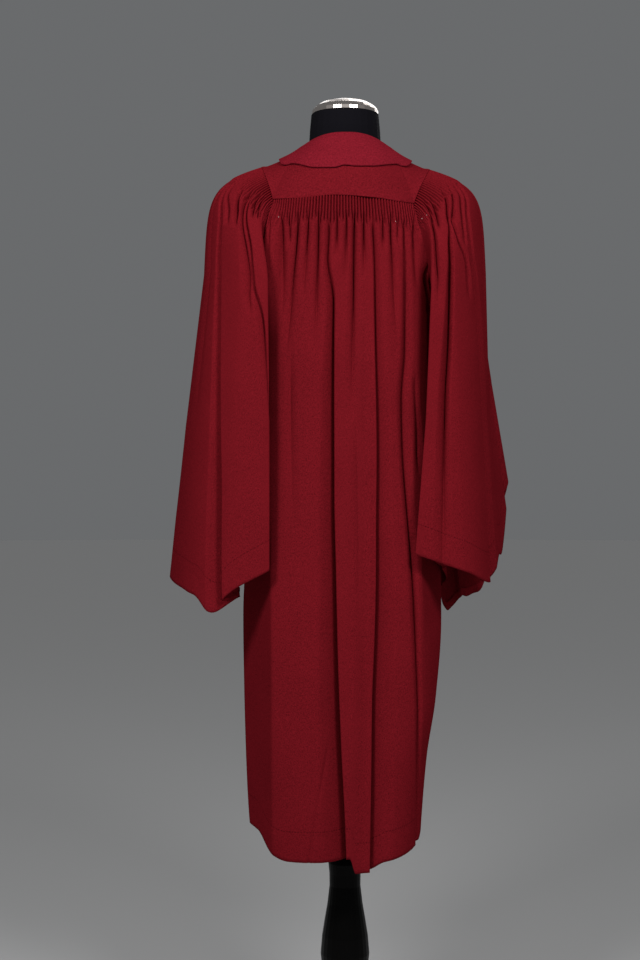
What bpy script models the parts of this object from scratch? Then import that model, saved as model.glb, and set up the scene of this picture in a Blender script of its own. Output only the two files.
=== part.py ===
"""A graduation gown on a limbless dress form with a turned pole and a round base.

Metres, +Z up. The gown's back faces -Y, its open front faces +Y, and "left" is -X.
Every panel of cloth is a thin wall: a surface with its folds, worked out from the tables
below, and the same surface moved in by the cloth's thickness.
"""
import math

import bpy
import numpy as np

# sizes
CLOTH = 0.0016              # thickness of the cloth wall
COLLAR_CLOTH = 0.0020       # the collar is two layers
SEAM_GAP = 0.0010           # distance between the pieces along a seam
SEAM_TURN = 0.0045          # the same as a turn round the trunk, on each side of a seam

SHOULDER_WIDTH = {-1: 0.1400, 1: 0.1415}      # half widths at the top of the yoke's side seams
SHOULDER_HEIGHT = {-1: 1.5480, 1: 1.5440}
NECK_HALF_WIDTH = 0.0705
NECK_HALF_DEPTH = 0.0690
NECK_BACK_HEIGHT = 1.5780
NECK_SIDE_HEIGHT = 1.5770
FRONT_SEAM_TURN = math.radians(38)      # how far the yoke comes over the shoulder to the front
NECK_END_TURN = math.radians(112)       # how far the neck edge of the yoke goes round

UNDERARM_HEIGHT = 1.302
FRONT_ARMHOLE_HEIGHT = 1.462

BACK_FLUTES = 53
SLEEVE_FLUTES = 28
FLUTE_STEPS = 4             # points along one flute
FLUTE_DEPTH = 0.0012        # half of the wave's height
FLUTE_LENGTH = 0.045        # how far the pleats run down from the seam

# Cross-sections of the gown's trunk from the top down: the half widths to the left and to the
# right, the depths to the back and to the front, and how square the section is.
TRUNK_COLUMNS = ("z", "left", "right", "back", "front", "power")
TRUNK = (
    (1.500, 0.150, 0.144, 0.116, 0.110, 2.4),
    (1.440, 0.152, 0.147, 0.125, 0.117, 2.5),
    (1.360, 0.153, 0.149, 0.130, 0.121, 2.6),
    (1.250, 0.154, 0.151, 0.131, 0.122, 2.8),
    (1.100, 0.157, 0.154, 0.132, 0.123, 3.0),
    (0.950, 0.163, 0.158, 0.136, 0.126, 3.3),
    (0.800, 0.171, 0.160, 0.140, 0.129, 3.8),
    (0.670, 0.169, 0.150, 0.142, 0.129, 3.8),
    (0.570, 0.166, 0.135, 0.142, 0.127, 3.6),
    (0.470, 0.161, 0.127, 0.140, 0.124, 3.2),
    (0.380, 0.150, 0.122, 0.138, 0.120, 2.9),
)

# The seam between the yoke and the back panel, from left to right.
BACK_SEAM_COLUMNS = ("x", "z")
BACK_SEAM = (
    (-0.1190, 1.4828),
    (-0.0743, 1.4806),
    (-0.0180, 1.4846),
    (0.0466, 1.4806),
    (0.0870, 1.4762),
    (0.1110, 1.4752),
)

# The hem of the back panel by its place round the section, from the left side to the right.
BACK_HEM_COLUMNS = ("share", "z")
BACK_HEM = (
    (0.00, 0.458),
    (0.14, 0.452),
    (0.24, 0.426),
    (0.33, 0.414),
    (0.47, 0.415),
    (0.54, 0.420),
    (0.56, 0.396),
    (0.63, 0.398),
    (0.67, 0.413),
    (0.73, 0.421),
    (0.80, 0.431),
    (0.90, 0.448),
    (1.00, 0.466),
)

# Heights where the long folds of the back panel are given.
FOLD_HEIGHTS = (1.480, 1.430, 1.310, 1.150, 0.900, 0.670, 0.420)
# Each long fold: where it lies from left to right, how deep it is and its half width, in
# millimetres at those heights.
FOLD_COLUMNS = ("x", "depth", "half_width")
BACK_FOLDS = (
    ((-104, -104, -100, -112, -142, -147, -143), (0, 8, 10, 5, 9, 14, 12), (4, 5, 6, 9, 17, 18, 18)),
    ((-84, -82, -70, -66, -70, -70, -70), (0, 9, 7, 2, 1, 1, 1), (4, 5, 6, 8, 8, 8, 8)),
    ((-62, -58, -44, -43, -46, -46, -46), (0, 9, 9, 4, 2, 2, 2), (4, 5, 5, 6, 8, 8, 8)),
    ((-32, -29, -22, -21, -19, -18, -13), (0, 10, 15, 18, 22, 25, 26), (4, 5, 5, 6, 8, 9, 10)),
    ((-6, 4, 14, 10, 10, 13, 15), (0, 10, 14, 6, 2, 2, 2), (4, 5, 5, 6, 8, 8, 8)),
    ((22, 29, 31, 32, 34, 36, 34), (0, 9, 6, 3, 2, 2, 2), (4, 5, 5, 6, 8, 8, 8)),
    ((43, 48, 49, 52, 53, 62, 56), (0, 10, 13, 15, 18, 21, 18), (4, 5, 5, 6, 8, 12, 15)),
    ((68, 75, 78, 80, 84, 88, 84), (0, 9, 9, 3, 2, 2, 2), (4, 5, 5, 6, 8, 8, 8)),
    ((90, 94, 99, 90, 98, 116, 118), (0, 9, 15, 14, 15, 13, 10), (4, 5, 8, 8, 8, 12, 13)),
)
# How many columns of the mesh lie between the left edge, each fold and the right edge.
BACK_STEPS = (9, 4, 4, 6, 6, 4, 4, 4, 4, 8)

# Half of the front, from the open edge to the side: share of the way round, depth, half width.
FRONT_FOLD_COLUMNS = ("share_top", "share_hem", "depth_top", "depth_hem", "half_width")
FRONT_FOLDS = (
    (0.30, 0.27, 0.002, 0.016, 0.013),
    (0.58, 0.55, 0.003, 0.015, 0.013),
    (0.82, 0.80, 0.001, 0.010, 0.013),
)
FRONT_EDGE_COLUMNS = ("z", "half_gap")
FRONT_EDGE = (
    (1.560, 0.064),
    (1.500, 0.046),
    (1.460, 0.033),
    (1.410, 0.018),
    (1.350, 0.008),
    (1.000, 0.008),
    (0.700, 0.012),
    (0.430, 0.022),
)
FRONT_HEM_CENTRE = 0.432
FRONT_HEM_SIDE = {-1: 0.458, 1: 0.466}

# Cross-sections of the sleeves: ten places round the tube, by the share of the way round from
# the outside over the back, the side next to the trunk and the front.
SLEEVE_PLACES = (0.0, 0.12, 0.24, 0.315, 0.41, 0.50, 0.58, 0.66, 0.75, 0.88)
SLEEVE_NAMES = ("outer", "outer_back", "back", "inner_back", "inside_back", "inside",
                "inside_front", "inner_front", "front", "outer_front")
# Where each place starts to hang, and where its hem is.
SLEEVE_START = (1.370, 1.370, 1.360, 1.340, 1.290, 1.262, 1.290, 1.330, 1.350, 1.365)
SLEEVE_HEM = {
    -1: (0.866, 0.850, 0.848, 0.881, 0.880, 0.872, 0.868, 0.862, 0.862, 0.866),
    1: (0.910, 0.861, 0.880, 0.907, 0.895, 0.862, 0.838, 0.802, 0.832, 1.000),
}
# Where a fold drops or lifts the hem: share of the way round, drop and half width as a share.
SLEEVE_HEM_DROP = {-1: ((0.192, 0.037, 0.027),), 1: ((0.925, -0.034, 0.038),)}
# For each sleeve, sections at the start, at the middle and at the hem, x without its sign.
SLEEVE_SECTIONS = {
    -1: (
        ((0.237, 0.000), (0.219, -0.078), (0.172, -0.130), (0.126, -0.141), (0.142, -0.112),
         (0.163, 0.000), (0.147, 0.098), (0.132, 0.128), (0.176, 0.122), (0.223, 0.074)),
        ((0.268, 0.000), (0.244, -0.082), (0.186, -0.137), (0.124, -0.147), (0.146, -0.120),
         (0.168, 0.000), (0.154, 0.104), (0.136, 0.134), (0.188, 0.130), (0.244, 0.080)),
        ((0.294, 0.000), (0.264, -0.088), (0.200, -0.142), (0.124, -0.154), (0.152, -0.128),
         (0.181, 0.000), (0.166, 0.108), (0.142, 0.142), (0.202, 0.138), (0.264, 0.084)),
    ),
    1: (
        ((0.236, 0.000), (0.218, -0.076), (0.176, -0.128), (0.137, -0.139), (0.146, -0.108),
         (0.160, 0.000), (0.145, 0.098), (0.130, 0.128), (0.174, 0.122), (0.216, 0.074)),
        ((0.243, 0.000), (0.226, -0.080), (0.182, -0.136), (0.128, -0.147), (0.144, -0.116),
         (0.164, 0.000), (0.152, 0.104), (0.150, 0.134), (0.196, 0.134), (0.250, 0.084)),
        ((0.265, 0.000), (0.240, -0.086), (0.190, -0.142), (0.111, -0.153), (0.143, -0.129),
         (0.170, 0.000), (0.168, 0.104), (0.180, 0.134), (0.226, 0.142), (0.281, 0.086)),
    ),
}
# The folds of the sleeves: share of the way round and depth at the top, the middle and the hem.
SLEEVE_FOLD_COLUMNS = ("shares", "depths", "half_widths")
SLEEVE_FOLDS = {
    -1: (
        ((0.155, 0.192, 0.216), (0.008, 0.018, 0.030), (0.006, 0.009, 0.013)),
        ((0.255, 0.275, 0.280), (0.005, 0.004, 0.001), (0.007, 0.010, 0.012)),
        ((0.950, 0.940, 0.930), (0.003, 0.012, 0.020), (0.008, 0.014, 0.018)),
        ((0.700, 0.705, 0.710), (0.002, 0.010, 0.018), (0.008, 0.012, 0.014)),
    ),
    1: (
        ((0.250, 0.270, 0.271), (0.008, 0.010, 0.004), (0.007, 0.010, 0.012)),
        ((0.150, 0.122, 0.130), (0.004, 0.008, 0.009), (0.007, 0.010, 0.013)),
        ((0.950, 0.945, 0.942), (0.003, 0.012, 0.024), (0.008, 0.014, 0.015)),
        ((0.700, 0.705, 0.710), (0.002, 0.010, 0.018), (0.008, 0.012, 0.014)),
    ),
}
SLEEVE_STEPS = 38
SLEEVE_OFFSET = 0.0012      # how far the sleeve's edge stands off the armhole

# The collar from the left end over the back to the right end: place along the yoke, height of
# its roll, and how much of the yoke its fall covers.
COLLAR_COLUMNS = ("place", "height", "fall")
COLLAR = (
    (0.015, 0.005, 0.10),
    (0.060, 0.005, 0.34),
    (0.120, 0.005, 0.56),
    (0.200, 0.006, 0.60),
    (0.260, 0.009, 0.51),
    (0.380, 0.016, 0.61),
    (0.460, 0.018, 0.63),
    (0.500, 0.018, 0.59),
    (0.540, 0.018, 0.60),
    (0.620, 0.016, 0.58),
    (0.740, 0.009, 0.50),
    (0.800, 0.006, 0.61),
    (0.880, 0.005, 0.56),
    (0.940, 0.005, 0.34),
    (0.985, 0.005, 0.10),
)

# The dress form from its foot up: height, half width, half depth, and how square it is.
FORM_COLUMNS = ("z", "half_width", "half_depth", "power")
FORM = (
    (0.820, 0.100, 0.066, 2.2),
    (0.830, 0.126, 0.088, 2.2),
    (0.880, 0.140, 0.098, 2.3),
    (0.980, 0.134, 0.094, 2.3),
    (1.100, 0.118, 0.084, 2.2),
    (1.160, 0.114, 0.082, 2.2),
    (1.260, 0.128, 0.090, 2.3),
    (1.360, 0.144, 0.096, 2.4),
    (1.440, 0.160, 0.088, 2.4),
    (1.490, 0.167, 0.076, 2.3),
    (1.518, 0.162, 0.068, 2.2),
    (1.533, 0.151, 0.065, 2.1),
    (1.545, 0.130, 0.063, 2.0),
    (1.555, 0.109, 0.058, 2.0),
    (1.564, 0.0865, 0.055, 2.0),
    (1.573, 0.0670, 0.056, 2.0),
    (1.584, 0.0605, 0.0590, 2.0),
    (1.612, 0.0590, 0.0590, 2.0),
    (1.6385, 0.0565, 0.0565, 2.0),
)
FORM_SEGMENTS = 28

# Turned profiles, radius first and then height, from the foot up.
BASE_PROFILE = ((0.0, 0.0), (0.176, 0.0), (0.180, 0.005), (0.180, 0.016), (0.170, 0.026),
                (0.120, 0.034), (0.066, 0.044), (0.044, 0.052), (0.0, 0.052))
POLE_PROFILE = ((0.0, 0.0523), (0.036, 0.0523), (0.039, 0.064), (0.033, 0.078), (0.027, 0.092),
                (0.025, 0.120), (0.029, 0.165), (0.038, 0.205), (0.0410, 0.232), (0.0385, 0.262),
                (0.034, 0.290), (0.0295, 0.316), (0.0260, 0.346), (0.0262, 0.366),
                (0.0280, 0.384), (0.0240, 0.398), (0.0205, 0.420), (0.0190, 0.480),
                (0.0175, 0.700), (0.0175, 0.8197), (0.0, 0.8197))
CAP_PROFILE = ((0.0, 1.6388), (0.0548, 1.6388), (0.0556, 1.6396), (0.0556, 1.6450),
               (0.0545, 1.6470), (0.0500, 1.6520), (0.0400, 1.6580), (0.0250, 1.6620),
               (0.0, 1.6640))
ROUND_SEGMENTS = 26

# Colour, roughness and metallic value of each material.
FINISHES = {
    "gown_cloth": ((0.150, 0.006, 0.012), 0.80, 0.0),
    "jersey": ((0.006, 0.005, 0.007), 0.90, 0.0),
    "cap_metal": ((0.600, 0.580, 0.560), 0.18, 1.0),
    "stand_wood": ((0.006, 0.005, 0.005), 0.35, 0.0),
}


# reading the tables
def smooth_read(keys, values, at):
    """Reads a value from a table with a smooth curve that doesn't overshoot."""
    if keys[0] > keys[-1]:
        keys = keys[::-1]
        values = values[::-1]
    if at <= keys[0]:
        return values[0]
    if at >= keys[-1]:
        return values[-1]
    i = 0
    while at > keys[i + 1]:
        i += 1
    slopes = [(values[k + 1] - values[k]) / (keys[k + 1] - keys[k]) for k in range(len(keys) - 1)]

    def tangent(k):
        if k == 0 or k == len(keys) - 1:
            return slopes[min(k, len(slopes) - 1)]
        before, after = slopes[k - 1], slopes[k]
        if before * after <= 0:
            return 0.0
        return 2 * before * after / (before + after)

    step = keys[i + 1] - keys[i]
    t = (at - keys[i]) / step
    return ((2 * t ** 3 - 3 * t ** 2 + 1) * values[i] + (t ** 3 - 2 * t ** 2 + t) * step * tangent(i)
            + (-2 * t ** 3 + 3 * t ** 2) * values[i + 1] + (t ** 3 - t ** 2) * step * tangent(i + 1))


def column(table, index):
    return [row[index] for row in table]


def read(table, index, at):
    """Reads one column of a table whose first column is the key."""
    return smooth_read(column(table, 0), column(table, index), at)


def ease(t):
    t = min(1.0, max(0.0, t))
    return t * t * (3 - 2 * t)


def mix(a, b, t):
    return a + (b - a) * t


# the trunk of the gown
def trunk_point(turn, z):
    """A point of the trunk without folds; turn 0 is the centre back, +90 degrees is +X."""
    power = read(TRUNK, 5, z)
    width = read(TRUNK, 2, z) if turn > 0 else read(TRUNK, 1, z)
    depth = read(TRUNK, 3, z) if abs(turn) < math.pi / 2 else read(TRUNK, 4, z)
    s, c = abs(math.sin(turn)), abs(math.cos(turn))
    r = ((s / width) ** power + (c / depth) ** power) ** (-1 / power)
    return np.array((r * math.sin(turn), -r * math.cos(turn), z))


def turn_of(x, z):
    """The turn of a point of the back at a given x."""
    low, high = (0.0, math.pi / 2) if x > 0 else (-math.pi / 2, 0.0)
    for _ in range(30):
        middle = (low + high) / 2
        if trunk_point(middle, z)[0] < x:
            low = middle
        else:
            high = middle
    return (low + high) / 2


CORNER = {side: (BACK_SEAM[0] if side < 0 else BACK_SEAM[-1]) for side in (-1, 1)}
CORNER_TURN = {side: turn_of(CORNER[side][0], CORNER[side][1]) for side in (-1, 1)}
FRONT_CORNER_TURN = math.radians(137)


def armhole_turn(side, z):
    """Where the back panel ends at a height: along the armhole, then at the side seam."""
    top = CORNER[side][1]
    if z <= UNDERARM_HEIGHT:
        return side * math.pi / 2
    share = math.asin(min(1.0, max(0.0, (top - z) / (top - UNDERARM_HEIGHT))))
    start = CORNER_TURN[side]
    return start + (side * math.pi / 2 - start) * (1 - math.cos(share))


def front_armhole_turn(side, z):
    """Where a front ends at a height below the chest."""
    if z <= UNDERARM_HEIGHT:
        return side * math.pi / 2
    reach = FRONT_ARMHOLE_HEIGHT - UNDERARM_HEIGHT
    share = math.asin(min(1.0, (FRONT_ARMHOLE_HEIGHT - z) / reach))
    turn = FRONT_CORNER_TURN + (math.pi / 2 - FRONT_CORNER_TURN) * (1 - math.cos(share))
    return side * turn


def side_seam(side, share):
    """The yoke's side seam: 0 at the back corner, 1 at the shoulder, past 1 to the front."""
    x_back, z_back = CORNER[side]
    y_back = trunk_point(CORNER_TURN[side], z_back)[1]
    if share <= 1:
        angle = share * math.pi / 2
        x = mix(x_back, side * SHOULDER_WIDTH[side], math.sin(angle) ** 1.2)
        y = y_back * math.cos(angle)
        return np.array((x, y, mix(z_back, SHOULDER_HEIGHT[side], math.sin(angle))))
    angle = (share - 1) * FRONT_SEAM_TURN
    x = side * (SHOULDER_WIDTH[side] - 0.020 * (1 - math.cos(angle)))
    z = SHOULDER_HEIGHT[side] - 0.066 * (1 - math.cos(angle))
    return np.array((x, 0.088 * math.sin(angle), z))


# yoke
YOKE_SIDE_SHARE = 0.24      # share of the yoke's length that each side seam takes
YOKE_SOFTENING = 0.055      # how far along the yoke its corners are rounded inside the edge


def yoke_outer(s):
    """The yoke's outer edge, from the left front over the back to the right front."""
    if s < YOKE_SIDE_SHARE:
        return side_seam(-1, 2 - 2 * s / YOKE_SIDE_SHARE)
    if s > 1 - YOKE_SIDE_SHARE:
        return side_seam(1, 2 - 2 * (1 - s) / YOKE_SIDE_SHARE)
    across = (s - YOKE_SIDE_SHARE) / (1 - 2 * YOKE_SIDE_SHARE)
    x = mix(BACK_SEAM[0][0], BACK_SEAM[-1][0], across)
    z = read(BACK_SEAM, 1, x)
    return trunk_point(turn_of(x, z), z)


def yoke_inner(s):
    """The yoke's neck edge."""
    turn = (s * 2 - 1) * NECK_END_TURN
    height = mix(NECK_BACK_HEIGHT, NECK_SIDE_HEIGHT, math.sin(min(abs(turn), math.pi / 2)) ** 2)
    height -= 0.012 * max(0.0, abs(turn) - math.pi / 2)
    return np.array((NECK_HALF_WIDTH * math.sin(turn), -NECK_HALF_DEPTH * math.cos(turn), height))


def yoke_softened(s):
    """The outer edge with its corners rounded off, which the middle of the yoke follows."""
    total = np.zeros(3)
    weights = 0.0
    for step in range(-3, 4):
        weight = 4 - abs(step)
        place = min(1.0, max(0.0, s + step * YOKE_SOFTENING / 3))
        total = total + weight * yoke_outer(place)
        weights += weight
    return total / weights


def yoke_point(s, r):
    """A point of the yoke, r 0 at the neck and 1 at the outer edge, rounded over the back."""
    inner, outer = yoke_inner(s), yoke_softened(s)
    back = ease((-outer[1] - 0.02) / 0.08)
    control = (inner + outer) / 2 + np.array((0.0, 0.0, 0.0015))
    rounded = np.array((mix(inner[0], outer[0], 0.62), mix(inner[1], outer[1], 0.80),
                        mix(inner[2], outer[2], 0.24)))
    control = mix(control, rounded, back)
    soft = (1 - r) ** 2 * inner + 2 * r * (1 - r) * control + r * r * outer
    return soft + (yoke_outer(s) - outer) * r ** 4


# back panel
def back_row(z, shares):
    """Points of the back panel at a height, at shares of the way from left to right.

    The row follows the section of the trunk; its folds sink into it.
    """
    count = 160
    first, last = armhole_turn(-1, z) + SEAM_TURN, armhole_turn(1, z) - SEAM_TURN
    turns = [mix(first, last, k / count) for k in range(count + 1)]
    section = [trunk_point(turn, z) for turn in turns]
    length = [0.0]
    for k in range(count):
        length.append(length[-1] + float(np.linalg.norm(section[k + 1] - section[k])))
    total = length[-1]

    def at(distance):
        turn = float(np.interp(distance, length, turns))
        here, ahead = trunk_point(turn, z), trunk_point(turn + 0.01, z)
        along = (ahead - here) / np.linalg.norm(ahead - here)
        return here, np.array((along[1], -along[0], 0.0))

    anchors = [0.0]
    depths = [0.0]
    widths = [0.01]
    for fold in BACK_FOLDS:
        x = smooth_read(FOLD_HEIGHTS, fold[0], z) / 1000
        turn = turn_of(x, z)
        anchors.append(float(np.interp(turn, turns, length)))
        depths.append(smooth_read(FOLD_HEIGHTS, fold[1], z) / 1000)
        widths.append(smooth_read(FOLD_HEIGHTS, fold[2], z) / 1000)
    anchors.append(total)

    def folded(distance):
        here, outward = at(distance)
        sink = 0.0
        for place, depth, width in zip(anchors[1:-1], depths[1:], widths[1:]):
            sink += depth * math.exp(-abs((distance - place) / width) ** 1.7)
        return here - outward * sink, outward

    if shares is None:
        distances = []
        for k, steps in enumerate(BACK_STEPS):
            for j in range(steps):
                t = j / steps
                spread = t if k in (0, len(BACK_STEPS) - 1) else mix(t, ease(t), 0.45)
                distances.append(mix(anchors[k], anchors[k + 1], spread))
        distances.append(total)
    else:
        distances = [share * total for share in shares]
    points = [folded(distance) for distance in distances]
    return [p for p, _ in points], [n for _, n in points], [d / total for d in distances]


def sag(share):
    """How far the rows of the back panel follow the seam and the hem at a share of the way."""
    x = mix(BACK_SEAM[0][0], BACK_SEAM[-1][0], share)
    return read(BACK_SEAM, 1, x)


def back_panel_rows():
    """Rows from the seam with the yoke down to the hem, with and without the pleats."""
    folded, plain = [], []
    count = BACK_FLUTES * FLUTE_STEPS
    for drop in (0.0, 1.0):
        height = -SEAM_GAP - drop * FLUTE_LENGTH
        row, base = [], []
        for k in range(count + 1):
            share = k / count
            z = sag(share) + height
            points, normals, _ = level_point(z, share)
            wave = math.cos(math.pi * 2 * k / FLUTE_STEPS)
            fade = mix(1.0, 0.55, drop) * ease(k / 6) * ease((count - k) / 6)
            row.append(points + normals * FLUTE_DEPTH * wave * fade)
            base.append(points)
        folded.append(row)
        plain.append(base)
    shares = None
    for centre in BACK_LEVELS + (None,):
        if centre is None:
            shares = back_row(FOLD_HEIGHTS[-1], None)[2]
            row = []
            for share in shares:
                row.append(level_point(read(BACK_HEM, 1, share), share)[0])
        else:
            row = back_row(centre, None)[0]
        folded.append(row)
        plain.append(row)
    return folded, plain


BACK_LEVELS = (1.405, 1.360, 1.325, 1.302, 1.210, 1.090, 0.960, 0.840, 0.730, 0.630, 0.530, 0.470)
LEVEL_STEP = 0.004
LEVEL_CACHE = {}


def level_point(z, share):
    """A point of the back panel at any height, read between two levels."""
    low = math.floor(z / LEVEL_STEP)
    result = []
    for level in (low, low + 1):
        if level not in LEVEL_CACHE:
            shares = [k / 240 for k in range(241)]
            LEVEL_CACHE[level] = back_row(min(level * LEVEL_STEP, CORNER[-1][1]), shares)
        points, normals, _ = LEVEL_CACHE[level]
        place = share * 240
        k = min(239, int(place))
        t = place - k
        result.append((mix(points[k], points[k + 1], t), mix(normals[k], normals[k + 1], t)))
    t = z / LEVEL_STEP - low
    point = mix(result[0][0], result[1][0], t)
    point[2] = z
    return point, mix(result[0][1], result[1][1], t), share


# fronts
FRONT_STEPS = 11
FRONT_CHEST_BLENDS = (0.30, 0.62)
FRONT_LEVELS = (1.462, 1.410, 1.350, 1.320, 1.302, 1.200, 1.080, 0.950, 0.830, 0.710, 0.600, 0.510)


def front_turn(side, z, share):
    """The turn of a point of a front: share 0 at the open edge, 1 at the armhole or side."""
    depth = read(TRUNK, 4, z)
    start = math.pi - math.atan2(read(FRONT_EDGE, 1, z), depth)
    return mix(side * start, front_armhole_turn(side, z) + side * SEAM_TURN, share)


def front_point(side, z, share):
    turn = front_turn(side, z, share)
    here, ahead = trunk_point(turn, z), trunk_point(turn + 0.01, z)
    along = (ahead - here) / np.linalg.norm(ahead - here)
    outward = np.array((along[1], -along[0], 0.0))
    down = ease((1.46 - z) / 1.0)
    length = 0.29
    sink = 0.0
    for fold in FRONT_FOLDS:
        place = mix(fold[0], fold[1], down)
        sink += mix(fold[2], fold[3], down) * math.exp(-((share - place) * length / fold[4]) ** 2)
    return here - outward * sink


def front_rows(side):
    """Rows of a front from the seam with the yoke down to the hem."""
    shares = [k / FRONT_STEPS for k in range(FRONT_STEPS + 1)]
    end = 0.0 if side < 0 else 1.0
    seam = []
    for share in shares:
        gap = np.array((-side * SEAM_GAP * share, SEAM_GAP, -0.0002))
        seam.append(yoke_point(end, share) + gap)
    chest = [front_point(side, FRONT_LEVELS[0], share) for share in shares]
    rows = [seam]
    for t in FRONT_CHEST_BLENDS:
        row = []
        for top, low in zip(seam, chest):
            control = np.array((mix(top[0], low[0], 0.45), mix(top[1], low[1], 0.82),
                                mix(top[2], low[2], 0.25)))
            row.append((1 - t) ** 2 * top + 2 * t * (1 - t) * control + t * t * low)
        rows.append(row)
    rows.append(chest)
    for level in FRONT_LEVELS[1:]:
        rows.append([front_point(side, level, share) for share in shares])
    rows.append([front_point(side, mix(FRONT_HEM_CENTRE, FRONT_HEM_SIDE[side], ease(share)), share)
                 for share in shares])
    return rows


# sleeves
BACK_CORNER_SHARE = 0.30
FRONT_CORNER_SHARE = 0.82


def armhole(side, a):
    """The armhole as one loop: 0 at the shoulder, then the back, the underarm and the front."""
    a = a % 1.0
    if a <= BACK_CORNER_SHARE:
        return side_seam(side, 1 - a / BACK_CORNER_SHARE)
    if a <= 0.5:
        share = (a - BACK_CORNER_SHARE) / (0.5 - BACK_CORNER_SHARE) * math.pi / 2
        z = mix(CORNER[side][1], UNDERARM_HEIGHT, math.sin(share))
        return trunk_point(armhole_turn(side, z), z)
    if a <= 0.74:
        share = (0.74 - a) / 0.24 * math.pi / 2
        z = mix(FRONT_ARMHOLE_HEIGHT, UNDERARM_HEIGHT, math.sin(share))
        return trunk_point(front_armhole_turn(side, z), z)
    low = trunk_point(front_armhole_turn(side, FRONT_ARMHOLE_HEIGHT), FRONT_ARMHOLE_HEIGHT)
    high = side_seam(side, 2.0)
    if a <= FRONT_CORNER_SHARE:
        t = (a - 0.74) / (FRONT_CORNER_SHARE - 0.74)
        control = np.array((mix(high[0], low[0], 0.45), mix(high[1], low[1], 0.82),
                            mix(high[2], low[2], 0.25)))
        return (1 - t) ** 2 * low + 2 * t * (1 - t) * control + t * t * high
    return side_seam(side, 2 - (a - FRONT_CORNER_SHARE) / (1 - FRONT_CORNER_SHARE))


def round_read(values, a):
    """Reads values given at the sleeve's ten places, round the tube."""
    a = a % 1.0
    places = list(SLEEVE_PLACES) + [1.0]
    k = max(i for i in range(10) if places[i] <= a)
    t = (a - places[k]) / (places[k + 1] - places[k])
    before, here = np.asarray(values[k - 1], float), np.asarray(values[k], float)
    after, later = np.asarray(values[(k + 1) % 10], float), np.asarray(values[(k + 2) % 10], float)
    span = places[k + 1] - places[k]
    span_before = (places[k] - places[k - 1]) if k else 0.12
    span_after = (places[k + 2] - places[k + 1]) if k < 9 else 0.12
    leave = (after - before) / (span + span_before) * span
    arrive = (later - here) / (span + span_after) * span
    return ((2 * t ** 3 - 3 * t ** 2 + 1) * here + (t ** 3 - 2 * t ** 2 + t) * leave
            + (-2 * t ** 3 + 3 * t ** 2) * after + (t ** 3 - t ** 2) * arrive)


def sleeve_section(side, a, down):
    """The tube's section without folds; down is 0 where it starts to hang and 1 at the hem."""
    top, middle, low = (round_read(section, a) for section in SLEEVE_SECTIONS[side])
    if down < 0.5:
        flat = mix(top, middle, down * 2)
    else:
        flat = mix(middle, low, down * 2 - 1)
    return np.array((side * flat[0], flat[1]))


def sleeve_hanging(side, a, down):
    start = float(round_read(SLEEVE_START, a))
    hem = float(round_read(SLEEVE_HEM[side], a))
    for centre, drop, half_width in SLEEVE_HEM_DROP[side]:
        hem -= drop * math.exp(-((a % 1.0 - centre) / half_width) ** 2)
    flat = sleeve_section(side, a, down)
    ahead = sleeve_section(side, a + 0.004, down)
    along = ahead - flat
    along = along / np.linalg.norm(along)
    outward = np.array((-along[1], along[0])) * side
    sink = 0.0
    for shares, depths, widths in SLEEVE_FOLDS[side]:
        place = smooth_read((0.0, 0.5, 1.0), shares, down)
        depth = smooth_read((0.0, 0.5, 1.0), depths, down)
        width = smooth_read((0.0, 0.5, 1.0), widths, down)
        off = (a % 1.0 - place) * 0.86
        sink += depth * math.exp(-abs(off / width) ** 1.7)
    flat = flat - outward * sink
    return np.array((flat[0], flat[1], mix(start, hem, down)))


def sleeve_head(side, a, t):
    """The part of a sleeve over the shoulder, from the armhole to where it hangs."""
    start = armhole(side, a)
    end = sleeve_hanging(side, a, 0.0)
    centre = np.array((side * 0.10, 0.0, 1.42))
    away = start - centre
    away[0] = side * max(abs(away[0]), 0.03)
    away = away / np.linalg.norm(away)
    top = math.cos(math.pi * a) ** 2
    low_leave = np.array((side * 0.55, away[1] * 0.9, -0.05))
    top_leave = np.array((side * 0.94, away[1] * 0.6, -0.30))
    leave = mix(low_leave, top_leave, top)
    leave = leave / np.linalg.norm(leave)
    first = start + leave * SLEEVE_OFFSET * (1 + 2.4 * math.sin(math.pi * (a % 1.0)) ** 8)
    drop = start[2] - end[2]
    control_a = first + leave * mix(0.016, 0.096, top)
    control_b = end + np.array((-side * 0.006 * top, 0.0, mix(0.30, 0.72, top) * drop))
    return ((1 - t) ** 3 * first + 3 * t * (1 - t) ** 2 * control_a
            + 3 * t * t * (1 - t) * control_b + t ** 3 * end)


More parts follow.
